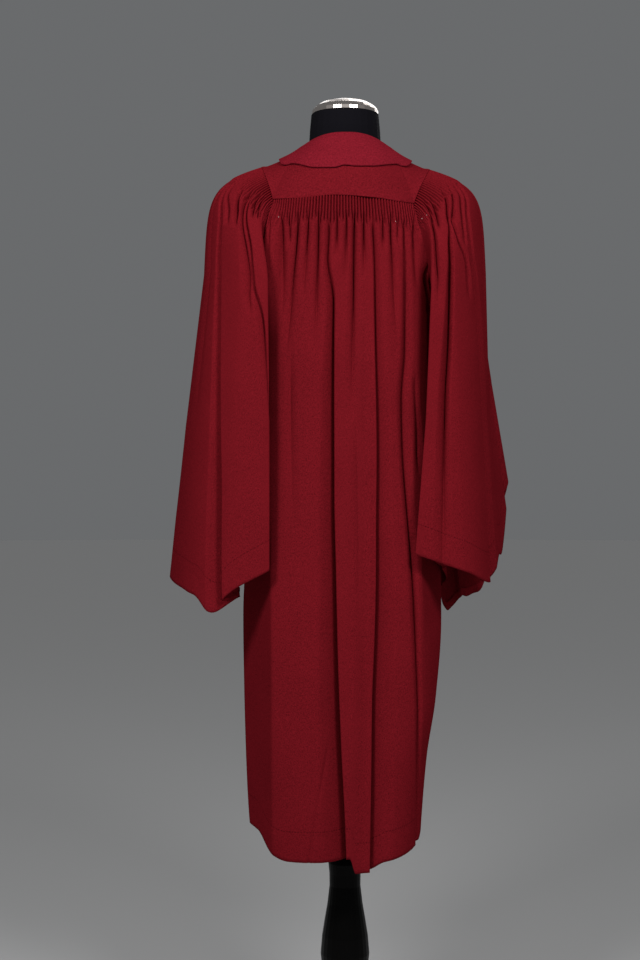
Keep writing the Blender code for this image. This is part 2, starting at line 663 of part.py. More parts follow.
def sleeve_rows(side):
    """Rings of a sleeve from the armhole down to the hem, with and without the pleats."""
    flutes = SLEEVE_FLUTES * FLUTE_STEPS
    first, last = -0.055, BACK_CORNER_SHARE
    shares = [mix(first, last, k / flutes) for k in range(flutes + 1)]
    top = CORNER[side][1]
    seam = []
    for level in (top - SEAM_GAP - FLUTE_LENGTH,) + BACK_LEVELS[:3]:
        turn = math.asin((top - level) / (top - UNDERARM_HEIGHT))
        seam.append(mix(BACK_CORNER_SHARE, 0.5, turn / (math.pi / 2)))
    seam.append(0.5)
    for level in FRONT_LEVELS[3::-1]:
        turn = math.asin((FRONT_ARMHOLE_HEIGHT - level) / (FRONT_ARMHOLE_HEIGHT - UNDERARM_HEIGHT))
        seam.append(0.74 - 0.24 * turn / (math.pi / 2))
    for before, after in zip(seam, seam[1:]):
        shares.append(before)
        if 0.40 < before < 0.66:
            shares.append((before + after) / 2)
    shares.append(seam[-1])
    shares += [mix(0.74, FRONT_CORNER_SHARE, 1 - t) for t in FRONT_CHEST_BLENDS[::-1]]
    shares += [mix(FRONT_CORNER_SHARE, 1 + first, k / 4) for k in range(4)]
    folded, plain = [], []
    for t in (0.0, 0.11, 0.24):
        row, base = [], []
        for k, a in enumerate(shares):
            point = sleeve_head(side, a, t)
            around = sleeve_head(side, a + 0.004, t) - point
            onward = sleeve_head(side, a, t + 0.02) - point
            outward = np.cross(onward, around) * -side
            outward = outward / np.linalg.norm(outward)
            wave = 0.0
            if k <= flutes:
                edge = ease((flutes - k) / 6) * ease(k / 16)
                wave = math.cos(2 * math.pi * k / FLUTE_STEPS) * edge * mix(1.0, 0.6, t / 0.24)
            row.append(point + outward * FLUTE_DEPTH * wave)
            base.append(point)
        folded.append(row)
        plain.append(base)
    shares = [k / SLEEVE_STEPS for k in range(SLEEVE_STEPS)]
    rings = [("head", t) for t in (0.36, 0.50, 0.66, 0.83)]
    rings += [("hang", down) for down in (0.0, 0.15, 0.32, 0.50, 0.68, 0.85, 1.0)]
    for kind, t in rings:
        make = sleeve_head if kind == "head" else sleeve_hanging
        row = [make(side, a - 0.055, t) for a in shares]
        folded.append(row)
        plain.append(row)
    return folded, plain


# meshes
def finish(name):
    """The material of a piece, made once."""
    material = bpy.data.materials.get(name)
    if material:
        return material
    colour, roughness, metallic = FINISHES[name]
    material = bpy.data.materials.new(name)
    material.use_nodes = True
    shader = material.node_tree.nodes["Principled BSDF"]
    shader.inputs["Base Color"].default_value = (*colour, 1.0)
    shader.inputs["Roughness"].default_value = roughness
    shader.inputs["Metallic"].default_value = metallic
    material.diffuse_color = (*colour, 1.0)
    return material


def add_object(name, points, faces, look, parent):
    mesh = bpy.data.meshes.new(name)
    mesh.from_pydata([tuple(float(c) for c in p) for p in points], [], faces)
    mesh.validate()
    mesh.materials.append(finish(look).copy())
    mesh.materials[0].name = name + "_" + look
    mesh.shade_smooth()
    mesh.set_sharp_from_angle(angle=math.radians(50))
    item = bpy.data.objects.new(name, mesh)
    bpy.context.scene.collection.objects.link(item)
    item.parent = parent
    return item


def along_row(row, closed):
    """How far along its row each point lies, as a share."""
    steps = [float(np.linalg.norm(row[k + 1] - row[k])) for k in range(len(row) - 1)]
    if closed:
        steps.append(float(np.linalg.norm(row[0] - row[-1])))
    total = sum(steps)
    shares = [0.0]
    for step in steps:
        shares.append(shares[-1] + step / total)
    return shares


def strip(first, first_shares, second, second_shares, closed):
    """Faces between two rows of point numbers, which may differ in how many points they have."""
    if closed:
        first, second = first + [first[0]], second + [second[0]]
    if len(first) == len(second):
        return [(first[k], second[k], second[k + 1], first[k + 1]) for k in range(len(first) - 1)]
    faces = []
    i = j = 0
    while i < len(first) - 1 or j < len(second) - 1:
        step_first = j == len(second) - 1
        if i < len(first) - 1 and j < len(second) - 1:
            middle_first = (first_shares[i] + first_shares[i + 1]) / 2
            step_first = middle_first < (second_shares[j] + second_shares[j + 1]) / 2
        if step_first:
            faces.append((first[i], second[j], first[i + 1]))
            i += 1
        else:
            faces.append((first[i], second[j], second[j + 1]))
            j += 1
    return faces


def wall(name, rows, plain_rows, closed, thickness, look, parent, flip=False):
    """A cloth wall from the rows of its outer surface; it grows inwards by its thickness."""
    numbers, points, plain = [], [], []
    for row, base in zip(rows, plain_rows):
        numbers.append(list(range(len(points), len(points) + len(row))))
        points += row
        plain += base
    shares = [along_row(base, closed) for base in plain_rows]
    faces = []
    for k in range(len(rows) - 1):
        faces += strip(numbers[k], shares[k], numbers[k + 1], shares[k + 1], closed)
    normals = np.zeros((len(points), 3))
    flat = np.array(plain)
    for face in faces:
        corner = flat[list(face)]
        if len(face) == 4:
            normal = np.cross(corner[2] - corner[0], corner[3] - corner[1])
        else:
            normal = np.cross(corner[1] - corner[0], corner[2] - corner[0])
        for k in face:
            normals[k] += normal
    normals /= np.linalg.norm(normals, axis=1)[:, None]
    if flip:
        faces = [tuple(reversed(face)) for face in faces]
        normals = -normals
    outer = np.array(points)
    inner = outer - normals * thickness
    count = len(outer)
    every = list(faces) + [tuple(k + count for k in reversed(face)) for face in faces]
    rims = [numbers[0], numbers[-1][::-1]]
    if closed:
        rims = [rim + [rim[0]] for rim in rims]
    else:
        rims = [numbers[0], [row[-1] for row in numbers], numbers[-1][::-1],
                [row[0] for row in numbers][::-1]]
    for rim in rims:
        if flip:
            rim = rim[::-1]
        for a, b in zip(rim, rim[1:]):
            every.append((a, b, b + count, a + count))
    return add_object(name, np.vstack((outer, inner)), every, look, parent)


def turned(name, profile, segments, look, parent):
    """A solid turned about the Z axis from a profile whose ends lie on the axis."""
    points = [(0.0, 0.0, profile[0][1])]
    for radius, height in profile[1:-1]:
        for k in range(segments):
            angle = 2 * math.pi * k / segments
            points.append((radius * math.cos(angle), radius * math.sin(angle), height))
    points.append((0.0, 0.0, profile[-1][1]))
    faces = []
    rings = len(profile) - 2
    for k in range(segments):
        ahead = (k + 1) % segments
        faces.append((0, 1 + ahead, 1 + k))
        for ring in range(rings - 1):
            low, high = 1 + ring * segments, 1 + (ring + 1) * segments
            faces.append((low + k, low + ahead, high + ahead, high + k))
        top = 1 + (rings - 1) * segments
        faces.append((top + k, top + ahead, len(points) - 1))
    return add_object(name, points, faces, look, parent)


def form_body(parent):
    """The limbless torso and neck, one closed solid."""
    points = []
    for z, width, depth, power in FORM:
        for k in range(FORM_SEGMENTS):
            angle = 2 * math.pi * k / FORM_SEGMENTS
            s, c = math.sin(angle), math.cos(angle)
            r = ((abs(s) / width) ** power + (abs(c) / depth) ** power) ** (-1 / power)
            points.append((r * s, -r * c, z))
    faces = []
    for ring in range(len(FORM) - 1):
        low, high = ring * FORM_SEGMENTS, (ring + 1) * FORM_SEGMENTS
        for k in range(FORM_SEGMENTS):
            ahead = (k + 1) % FORM_SEGMENTS
            faces.append((low + k, low + ahead, high + ahead, high + k))
    faces.append(tuple(reversed(range(FORM_SEGMENTS))))
    faces.append(tuple(range(len(points) - FORM_SEGMENTS, len(points))))
    return add_object("form_body", points, faces, "jersey", parent)


def collar_rows():
    """Rows of the collar: the stand inside the neck, the roll, and the fall over the yoke."""
    rows = [[] for _ in range(8)]
    count = 36
    for k in range(count + 1):
        s = mix(COLLAR[0][0], COLLAR[-1][0], k / count)
        height, fall = read(COLLAR, 1, s), read(COLLAR, 2, s)
        neck = yoke_inner(s)
        inward = np.array((-neck[0], -neck[1], 0.0))
        inward = inward / np.linalg.norm(inward)
        up = np.array((0.0, 0.0, 1.0))
        section = [
            neck + inward * 0.0012 + up * 0.0009,
            neck + inward * 0.0010 + up * max(height - 0.0035, height * 0.72),
            neck - inward * 0.0030 + up * height,
            neck - inward * 0.0068 + up * (height - min(0.0040, 0.25 * height)),
        ]
        for share, lift in ((0.30, 0.0068), (0.55, 0.0052), (0.80, 0.0044), (1.0, 0.0040)):
            r = fall * share
            point = yoke_point(s, r)
            across = yoke_point(min(1.0, s + 0.01), r) - yoke_point(max(0.0, s - 0.01), r)
            down = yoke_point(s, r + 0.02) - yoke_point(s, max(0.0, r - 0.02))
            outward = np.cross(down, across)
            outward = outward / np.linalg.norm(outward)
            if outward[2] < 0:
                outward = -outward
            section.append(point + outward * mix(lift, 0.0040, 1 - min(1.0, height / 0.012)))
        for row, point in zip(rows, section):
            row.append(point)
    return rows


def yoke_rows():
    count = 50
    rows = []
    for r in (0.0, 0.27, 0.52, 0.77, 1.0):
        rows.append([yoke_point(k / count, r) for k in range(count + 1)])
    return rows


def build():
    for item in list(bpy.data.objects):
        bpy.data.objects.remove(item, do_unlink=True)
    origin = bpy.data.objects.new("stand_axis", None)
    bpy.context.scene.collection.objects.link(origin)

    turned("base", BASE_PROFILE, ROUND_SEGMENTS, "stand_wood", origin)
    turned("pole", POLE_PROFILE, ROUND_SEGMENTS, "stand_wood", origin)
    turned("neck_cap", CAP_PROFILE, ROUND_SEGMENTS, "cap_metal", origin)
    form_body(origin)

    yoke = yoke_rows()
    wall("yoke", yoke, yoke, False, CLOTH, "gown_cloth", origin)
    back, back_plain = back_panel_rows()
    wall("back_panel", back, back_plain, False, CLOTH, "gown_cloth", origin)
    for side, name in ((-1, "front_left"), (1, "front_right")):
        rows = front_rows(side)
        wall(name, rows, rows, False, CLOTH, "gown_cloth", origin, flip=side < 0)
    for side, name in ((-1, "sleeve_left"), (1, "sleeve_right")):
        rows, plain = sleeve_rows(side)
        wall(name, rows, plain, True, CLOTH, "gown_cloth", origin, flip=side < 0)
    collar = collar_rows()
    wall("collar", collar, collar, False, COLLAR_CLOTH, "gown_cloth", origin)


build()
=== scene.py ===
import math

import bpy
import numpy as np
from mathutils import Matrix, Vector


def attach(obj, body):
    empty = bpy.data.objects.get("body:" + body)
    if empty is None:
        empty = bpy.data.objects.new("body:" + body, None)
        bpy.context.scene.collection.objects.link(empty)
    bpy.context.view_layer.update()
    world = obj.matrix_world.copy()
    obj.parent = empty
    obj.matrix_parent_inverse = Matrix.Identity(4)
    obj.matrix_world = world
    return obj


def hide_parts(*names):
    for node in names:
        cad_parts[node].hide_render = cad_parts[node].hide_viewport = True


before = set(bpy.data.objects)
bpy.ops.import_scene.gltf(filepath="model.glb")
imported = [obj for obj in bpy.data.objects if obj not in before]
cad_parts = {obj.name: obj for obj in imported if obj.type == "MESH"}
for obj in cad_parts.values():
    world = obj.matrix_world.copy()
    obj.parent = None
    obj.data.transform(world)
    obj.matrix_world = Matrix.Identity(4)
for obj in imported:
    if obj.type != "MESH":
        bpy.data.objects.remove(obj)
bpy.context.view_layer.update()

# The gown faces away: its back is towards -Y, its open front towards +Y, "left" is -X.
# Sizes are metres unless a name or a comment says millimetres.

SHOULDER_WIDTH = {-1: 0.1400, 1: 0.1415}
SHOULDER_HEIGHT = {-1: 1.5480, 1: 1.5440}
NECK_HALF_WIDTH = 0.0705
NECK_HALF_DEPTH = 0.0690
NECK_BACK_HEIGHT = 1.5780
NECK_SIDE_HEIGHT = 1.5770
FRONT_SEAM_TURN = math.radians(38)
NECK_END_TURN = math.radians(112)
UNDERARM_HEIGHT = 1.302
FRONT_ARMHOLE_HEIGHT = 1.462
SEAM_GAP = 0.0010
SEAM_TURN = 0.0045
SEAM_TUCK = 0.0045  # how far gathered cloth goes on under the yoke's edge

BACK_FLUTES = 53
SLEEVE_FLUTES = 32
FLUTE_POINTS = 8  # mesh points across one flute
FLUTE_RIDGE = 0.0064  # height of a flute over the valleys beside it
FLUTE_VALLEY = 0.0048  # how far those valleys lie under the cloth's own surface
BACK_FLUTE_LENGTH = 0.034  # full height down to here, then dying out
SLEEVE_FLUTE_LENGTH = 0.045
UNDER_FLUTES = 7  # flutes of each sleeve below the yoke's corner, down to this share
UNDER_SHARE = 0.323
UNDER_FLUTE_LENGTH = 0.016
FLUTE_FADE = 0.012
UNDERLAP = 0.50  # how far an uneven fold slides under its sharp side, per depth
FOLD_REACH = 2.0  # a fold's shoulders end at this many of its half widths
SWELL = 2.0  # the sharpness that marks a soft swell
YOKE_SOFTENING = 0.055  # how far round the yoke's corners are smoothed away inside its edge
YOKE_LIFT = 0.0020  # the yoke's edge stands this far over the flutes
YOKE_CREASE_PLACE = 0.512  # a faint pressed crease down the middle of the yoke
YOKE_CREASE_DEPTH = 0.0007
EDGE_TURN = 0.0016  # thickness that a turned edge shows
HEM_RETURN = 0.014  # how far the turned edge runs back up inside
HEM_STITCH_HEIGHT = 0.049  # the hem's stitch line above the edge

# Cross-sections of the trunk from the top down: half widths to the left and to the right,
# depths to the back and to the front, and how square the section is.
TRUNK = np.array((
    (1.5, 0.15, 0.144, 0.116, 0.11, 2.4),
    (1.44, 0.152, 0.147, 0.125, 0.117, 2.5),
    (1.36, 0.153, 0.149, 0.13, 0.121, 2.6),
    (1.25, 0.154, 0.151, 0.131, 0.122, 2.8),
    (1.1, 0.157, 0.154, 0.132, 0.123, 3.0),
    (0.95, 0.163, 0.158, 0.136, 0.126, 3.3),
    (0.8, 0.171, 0.16, 0.14, 0.129, 3.8),
    (0.67, 0.169, 0.15, 0.142, 0.129, 3.8),
    (0.57, 0.166, 0.135, 0.142, 0.127, 3.6),
    (0.47, 0.161, 0.127, 0.14, 0.124, 3.2),
    (0.38, 0.15, 0.122, 0.138, 0.12, 2.9),
))
BACK_SEAM = np.array((
    (-0.1190, 1.4828),
    (-0.0743, 1.4806),
    (-0.0180, 1.4846),
    (0.0466, 1.4806),
    (0.0870, 1.4762),
    (0.1110, 1.4752),
))
BACK_HEM = np.array((
    (0.0, 0.458), (0.14, 0.452), (0.24, 0.426), (0.33, 0.414), (0.47, 0.415), (0.54, 0.42),
    (0.56, 0.396), (0.63, 0.398), (0.67, 0.413), (0.73, 0.421), (0.8, 0.431), (0.9, 0.448),
    (1.0, 0.466),
))

# The folds of the back panel. Each has a sharpness and rows from the top down:
# height, x, depth, half width to its left and half width to its right, in millimetres.
BACK_FOLDS = (
    (1.4, ((1448, -28, 0, 4, 4), (1426, -28, 13, 4, 4), (1380, -30, 14, 5, 4), (1315, -22, 19, 6, 3),
        (1260, -23, 23, 7, 3), (1150, -24, 27, 9, 3), (1000, -24, 30, 11, 3), (890, -22, 33, 12, 3),
        (740, -19, 37, 14, 3), (600, -14, 39, 16, 3), (480, -8, 39, 18, 3), (400, -5, 38, 18, 3))),
    (1.4, ((1448, 44, 0, 4, 4), (1426, 45, 13, 4, 4), (1380, 48, 15, 3, 5), (1310, 49, 17, 3, 6),
        (1220, 51, 19, 3, 8), (1150, 53, 22, 3, 10), (1060, 54, 24, 3, 11), (950, 53, 26, 3, 12),
        (890, 53, 28, 3, 14), (780, 51, 31, 3, 15), (670, 47, 33, 3, 17), (560, 46, 34, 3, 17),
        (400, 44, 32, 3, 17))),
    (1.4, ((1448, 94, 0, 4, 4), (1426, 97, 13, 4, 5), (1380, 98, 16, 4, 5), (1315, 99, 18, 6, 6),
        (1235, 98, 17, 7, 7), (1155, 92, 16, 7, 7), (1075, 94, 17, 6, 8), (960, 102, 17, 6, 6),
        (900, 107, 16, 6, 5), (820, 111, 15, 6, 4), (750, 114, 13, 6, 4), (640, 118, 11, 6, 4),
        (560, 118, 10, 6, 4), (440, 117, 8, 6, 4))),
    (1.3, ((1441, 118, 0, 3, 3), (1425, 125, 8, 3, 3), (1380, 128, 10, 3, 3), (1362, 129, 13, 3, 3),
        (1347, 131, 22, 4, 4), (1332, 134, 14, 4, 4), (1315, 136, 8, 3, 3), (1240, 137, 7, 4, 4),
        (1190, 136, 0, 4, 4))),
    (1.3, ((1200, 113, 0, 5, 5), (1155, 114, 8, 4, 4), (1100, 117, 8, 5, 5), (1030, 118, 0, 6, 6))),
    (1.3, ((1240, -88, 0, 5, 5), (1160, -90, 5, 6, 6), (1040, -88, 3, 7, 7), (930, -84, 0, 7, 7))),
    (1.3, ((1130, 16, 0, 5, 5), (1040, 18, 4, 7, 7), (900, 20, 3, 8, 8), (760, 20, 0, 8, 8))),
    (1.3, ((606, -33, 0, 2, 2), (575, -37, 1.6, 2, 2), (500, -48, 2.2, 2, 2), (411, -61, 2.2, 2, 2))),
    (1.5, ((570, -133, 0, 4, 4), (535, -132, 4, 4, 4), (490, -128, 3, 4, 4), (455, -126, 0, 4, 4))),
    (1.5, ((540, -138, 0, 4, 4), (510, -141, 4, 4, 4), (470, -139, 0, 4, 4))),
)
# The short gathers under the back's flutes: x at the top, x at the end, height of the end,
# depth and half width, in millimetres.
BACK_GATHERS = (
    (-117, -116, 1335, 10, 4.5), (-105, -103, 1290, 17, 5.5), (-92, -92, 1400, 10, 4.0),
    (-77, -97, 1225, 18, 5.0), (-60, -70, 1310, 14, 5.0), (-44, -50, 1215, 16, 5.0),
    (-14, -16, 1378, 12, 4.5), (1, -2, 1335, 13, 5.0), (14, 9, 1120, 20, 5.5),
    (29, 31, 1345, 14, 5.0), (60, 61, 1392, 12, 4.5), (73, 82, 1245, 16, 5.0),
    (85, 86, 1400, 9, 4.0), (110, 116, 1330, 12, 4.5),
)
GATHER_TOP = 1459
# Broad soft ridges and hollows over the same panel: height, x, depth and half widths.
BACK_SWELLS = (
    ((1300, 34, 3, 16, 16), (1000, 34, 6, 14, 14), (700, 34, 8, 16, 16), (450, 30, 6, 18, 18)),
    ((1000, -60, -3, 30, 30), (700, -66, -4, 32, 32), (450, -64, -3, 32, 32)),
    ((1476, -116, 0, 8, 8), (1450, -117, -11, 12, 12), (1410, -118, -20, 14, 13), (1350, -119, -18, 14, 14),
     (1295, -121, -7, 14, 13), (1250, -123, 0, 14, 12)),
    ((1470, 115, 0, 7, 8), (1448, 119, -9, 8, 9), (1415, 124, -16, 9, 10), (1384, 128, -16, 9, 10),
     (1362, 130, -7, 8, 9), (1348, 132, 0, 8, 8)),
)

# Flat facets at the back's sides, by side: how far they are turned away from the back, and rows
# of height, the x of the facet's edge, and how far the cloth beyond it is laid flat (0 to 1).
BACK_FACETS = {
    -1: (math.radians(66), ((1.16, -0.135, 0.0), (1.0, -0.126, 0.6), (0.9, -0.122, 1.0),
                            (0.6, -0.12, 1.0), (0.4, -0.12, 1.0))),
    1: (math.radians(67), ((1.12, 0.132, 0.0), (0.98, 0.124, 0.6), (0.9, 0.122, 1.0),
                           (0.82, 0.124, 0.9), (0.74, 0.124, 0.4), (0.64, 0.119, 0.0),
                           (0.4, 0.11, 0.0))),
}
FACET_ROUNDING = 0.0025  # how softly a facet starts at its edge

# The folds of each front: share at the top, share at the hem, depth at both, half width.
FRONT_FOLDS = {
    -1: ((0.28, 0.27, 0.003, 0.016, 0.013), (0.42, 0.44, 0.002, 0.004, 0.008),
         (0.58, 0.55, 0.004, 0.014, 0.012), (0.7, 0.74, 0.005, 0.006, 0.009),
         (0.84, 0.86, 0.004, 0.009, 0.012)),
    1: ((0.31, 0.26, 0.002, 0.013, 0.012), (0.46, 0.42, 0.004, 0.006, 0.009),
        (0.6, 0.58, 0.003, 0.015, 0.014), (0.75, 0.72, 0.005, 0.004, 0.008),
        (0.86, 0.83, 0.003, 0.01, 0.012)),
}
# The open edge of both fronts: height and distance from the middle.
FRONT_EDGE = np.array((
    (1.56, 0.064), (1.5, 0.046), (1.46, 0.033), (1.41, 0.018), (1.35, 0.008),
    (1.0, 0.008), (0.7, 0.012), (0.43, 0.022),
))
FRONT_HEM_CENTRE = 0.432
FRONT_HEM_SIDE = {-1: 0.458, 1: 0.466}

# A sleeve is a tube. Ten places go round it: 0 at the shoulder, 0.25 at the back, 0.5 under the
# arm and 0.75 in front. At each place it hangs freely from a start down to its hem.
SLEEVE_PLACES = (0.0, 0.12, 0.24, 0.315, 0.41, 0.5, 0.58, 0.66, 0.75, 0.88)
SLEEVE_START = (1.37, 1.37, 1.36, 1.34, 1.29, 1.262, 1.29, 1.33, 1.35, 1.365)
SLEEVE_HEM = {
    -1: (0.866, 0.85, 0.848, 0.881, 0.88, 0.872, 0.868, 0.862, 0.862, 0.866),
    1: (0.91, 0.861, 0.88, 0.907, 0.895, 0.862, 0.838, 0.802, 0.832, 1.0),
}
# Dips of the hem between those places: place, how far it dips and half width.
SLEEVE_HEM_DROP = {
    -1: ((0.145, 0.004, 0.025), (0.212, 0.031, 0.034)),
    1: ((0.925, -0.034, 0.038), (0.065, -0.025, 0.034), (0.79, 0.04, 0.03), (0.712, -0.014, 0.018),
        (0.667, 0.005, 0.012)),
}
# Cross-sections at the start, halfway down and at the hem: distance outwards from the middle of
# the gown and distance to the front, at each place.
SLEEVE_SECTIONS = {
    -1: (
        ((0.237, 0.0), (0.219, -0.078), (0.172, -0.13), (0.126, -0.141), (0.142, -0.112),
         (0.163, 0.0), (0.147, 0.098), (0.132, 0.128), (0.176, 0.122), (0.223, 0.074)),
        ((0.268, 0.0), (0.244, -0.082), (0.186, -0.137), (0.124, -0.147), (0.146, -0.12),
         (0.168, 0.0), (0.154, 0.104), (0.136, 0.134), (0.188, 0.13), (0.244, 0.08)),
        ((0.294, 0.0), (0.264, -0.088), (0.2, -0.142), (0.124, -0.154), (0.152, -0.128),
         (0.181, 0.0), (0.166, 0.108), (0.142, 0.142), (0.202, 0.138), (0.264, 0.084)),
    ),
    1: (
        ((0.236, 0.0), (0.218, -0.076), (0.176, -0.128), (0.137, -0.139), (0.146, -0.108),
         (0.16, 0.0), (0.145, 0.098), (0.13, 0.128), (0.174, 0.122), (0.216, 0.074)),
        ((0.243, 0.0), (0.226, -0.08), (0.182, -0.136), (0.128, -0.147), (0.144, -0.116),
         (0.164, 0.0), (0.152, 0.104), (0.15, 0.134), (0.196, 0.134), (0.25, 0.084)),
        ((0.265, 0.0), (0.24, -0.086), (0.19, -0.142), (0.111, -0.153), (0.143, -0.129),
         (0.17, 0.0), (0.168, 0.104), (0.18, 0.134), (0.226, 0.142), (0.281, 0.086)),
    ),
}
# Where the armhole's corners lie round a sleeve, in the same measure as its places.
BACK_CORNER_SHARE = 0.30
UNDERARM_SHARE = 0.50
CHEST_SHARE = 0.74
FRONT_CORNER_SHARE = 0.82

# The folds of the sleeves: sharpness, then rows down the sleeve: way (0 to 1 over the shoulder,
# 1 to 2 hanging), place round the sleeve, depth and the two half widths in millimetres. The
# shared folds lie in front and under the arm.
SLEEVE_SHARED_FOLDS = (
    (1.7, ((0.9, 0.7, 0, 9, 9), (1.5, 0.705, 15, 11, 11), (2.0, 0.71, 18, 13, 13))),
    (1.5, ((0.8, 0.43, 0, 8, 8), (1.3, 0.43, 9, 8, 8), (2.0, 0.44, 14, 10, 10))),
)
SLEEVE_FOLDS = {
    -1: (
        (1.3, ((0.26, 0.09, 0, 3, 3), (0.45, 0.115, 20, 4, 3), (0.7, 0.152, 27, 5, 3),
            (0.95, 0.16, 29, 6, 3), (1.18, 0.18, 33, 8, 3), (1.44, 0.201, 39, 11, 3),
            (1.68, 0.217, 45, 14, 4), (1.91, 0.23, 50, 16, 4), (2.0, 0.235, 52, 16, 4))),
        (1.3, ((0.24, 0.11, 0, 3, 3), (0.38, 0.13, 16, 3, 3), (0.53, 0.168, 16, 4, 4),
            (0.68, 0.178, 0, 5, 5))),
        (1.3, ((0.2, 0.168, 0, 3, 3), (0.34, 0.181, 18, 3, 3), (0.48, 0.201, 21, 4, 4),
            (0.66, 0.212, 0, 5, 5))),
        (1.3, ((0.16, 0.205, 0, 3, 3), (0.3, 0.212, 16, 3, 3), (0.55, 0.232, 13, 4, 4),
            (0.76, 0.25, 16, 6, 4), (1.03, 0.262, 13, 7, 4), (1.14, 0.27, 0, 7, 5))),
        (1.3, ((0.14, 0.222, 0, 3, 2), (0.26, 0.226, 13, 3, 2), (0.72, 0.265, 13, 5, 2),
            (1.02, 0.274, 13, 6, 2), (1.13, 0.295, 12, 6, 2), (1.26, 0.305, 8, 6, 3),
            (1.47, 0.325, 0, 8, 4))),
        (1.3, ((0.1, 0.245, 0, 3, 3), (0.2, 0.25, 13, 3, 3), (0.34, 0.262, 10, 4, 4),
            (0.46, 0.27, 0, 5, 5))),
        (1.3, ((0.08, 0.268, 0, 3, 3), (0.16, 0.272, 13, 3, 3), (0.28, 0.28, 10, 4, 4),
            (0.4, 0.286, 0, 5, 5))),
        (1.4, ((0.22, 0.07, 0, 4, 4), (0.4, 0.074, 13, 4, 4), (0.75, 0.086, 10, 6, 6),
            (1.1, 0.1, 5, 8, 8), (1.5, 0.11, 0, 9, 9))),
        (1.4, ((0.22, 0.03, 0, 4, 4), (0.42, 0.028, 16, 4, 4), (0.8, 0.022, 12, 6, 6),
            (1.3, 0.018, 6, 9, 9), (1.8, 0.014, 0, 11, 11))),
        (1.4, ((0.22, 0.99, 0, 4, 4), (0.42, 0.985, 13, 4, 4), (0.9, 0.975, 8, 7, 7),
            (1.2, 0.97, 0, 9, 9))),
        (1.7, ((0.9, 0.95, 0, 9, 9), (1.5, 0.94, 12, 14, 14), (2.0, 0.93, 20, 16, 16))),
        (1.6, ((0.7, 0.86, 0, 8, 8), (1.2, 0.85, 10, 9, 12), (1.7, 0.835, 15, 12, 14),
            (2.0, 0.83, 12, 13, 15))),
    ) + SLEEVE_SHARED_FOLDS,
    1: (
        (1.3, ((0.38, 0.208, 0, 3, 3), (0.58, 0.238, 14, 3, 3), (0.75, 0.249, 22, 3, 4),
            (0.95, 0.252, 25, 3, 5), (1.21, 0.261, 24, 3, 7), (1.44, 0.27, 20, 4, 8),
            (1.7, 0.272, 13, 6, 9), (2.0, 0.272, 7, 9, 11))),
        (1.3, ((0.42, 0.205, 0, 3, 3), (0.58, 0.22, 16, 3, 3), (0.75, 0.216, 16, 3, 3),
            (0.94, 0.19, 12, 4, 4), (1.1, 0.182, 0, 5, 5))),
        (1.3, ((0.18, 0.182, 0, 3, 3), (0.27, 0.194, 18, 3, 3), (0.45, 0.229, 18, 3, 3),
            (0.58, 0.24, 0, 4, 4))),
        (1.3, ((0.18, 0.142, 0, 3, 3), (0.28, 0.158, 18, 3, 3), (0.46, 0.201, 16, 3, 3),
            (0.6, 0.212, 0, 4, 4))),
        (1.3, ((0.2, 0.112, 0, 3, 3), (0.34, 0.135, 16, 3, 3), (0.5, 0.17, 18, 3, 3),
            (0.66, 0.184, 12, 4, 4), (0.84, 0.188, 0, 5, 5))),
        (1.3, ((0.2, 0.085, 0, 4, 3), (0.4, 0.12, 14, 4, 3), (0.62, 0.16, 14, 5, 3),
            (0.9, 0.167, 14, 6, 3), (1.09, 0.148, 16, 9, 3), (1.28, 0.135, 19, 12, 3),
            (1.49, 0.122, 21, 14, 4), (1.74, 0.124, 20, 15, 5), (2.0, 0.118, 20, 15, 7))),
        (1.3, ((0.28, 0.288, 0, 3, 3), (0.45, 0.293, 18, 3, 3), (0.68, 0.293, 18, 4, 4),
            (0.9, 0.29, 13, 4, 4), (1.12, 0.287, 0, 5, 5))),
        (1.3, ((0.14, 0.245, 0, 3, 3), (0.26, 0.255, 16, 3, 3), (0.42, 0.268, 12, 4, 4),
            (0.56, 0.272, 0, 5, 5))),
        (1.3, ((0.08, 0.268, 0, 3, 3), (0.17, 0.274, 13, 3, 3), (0.3, 0.282, 10, 4, 4),
            (0.4, 0.288, 0, 5, 5))),
        (1.4, ((0.22, 0.05, 0, 4, 4), (0.42, 0.05, 16, 4, 4), (0.8, 0.055, 12, 6, 6),
            (1.2, 0.06, 4, 9, 9), (1.6, 0.06, 0, 11, 11))),
        (1.4, ((0.22, 0.005, 0, 4, 4), (0.42, 0.998, 13, 4, 4), (0.85, 0.99, 10, 7, 7),
            (1.25, 0.985, 0, 9, 9))),
        (1.7, ((0.9, 0.95, 0, 9, 9), (1.5, 0.945, 12, 13, 13), (2.0, 0.942, 26, 14, 14))),
        (1.6, ((0.7, 0.85, 0, 8, 8), (1.2, 0.845, 12, 9, 12), (1.7, 0.84, 12, 12, 14),
            (2.0, 0.836, 15, 13, 15))),
    ) + SLEEVE_SHARED_FOLDS,
}

# The collar from its left end over the back: place, height of the roll, reach of the fall.
COLLAR = np.array((
    (0.015, 0.005, 0.10), (0.060, 0.005, 0.34), (0.120, 0.005, 0.56), (0.200, 0.006, 0.60),
    (0.260, 0.009, 0.51), (0.380, 0.016, 0.61), (0.460, 0.018, 0.63), (0.500, 0.018, 0.59),
    (0.540, 0.018, 0.60), (0.620, 0.016, 0.58), (0.740, 0.009, 0.50), (0.800, 0.006, 0.61),
    (0.880, 0.005, 0.56), (0.940, 0.005, 0.34), (0.985, 0.005, 0.10),
))


# reading the tables
def blend(start, leave, end, arrive, t):
    """A smooth cubic from start to end that sets off along leave and comes in along arrive."""
    return ((2 * t ** 3 - 3 * t ** 2 + 1) * start + (t ** 3 - 2 * t ** 2 + t) * leave
            + (-2 * t ** 3 + 3 * t ** 2) * end + (t ** 3 - t ** 2) * arrive)


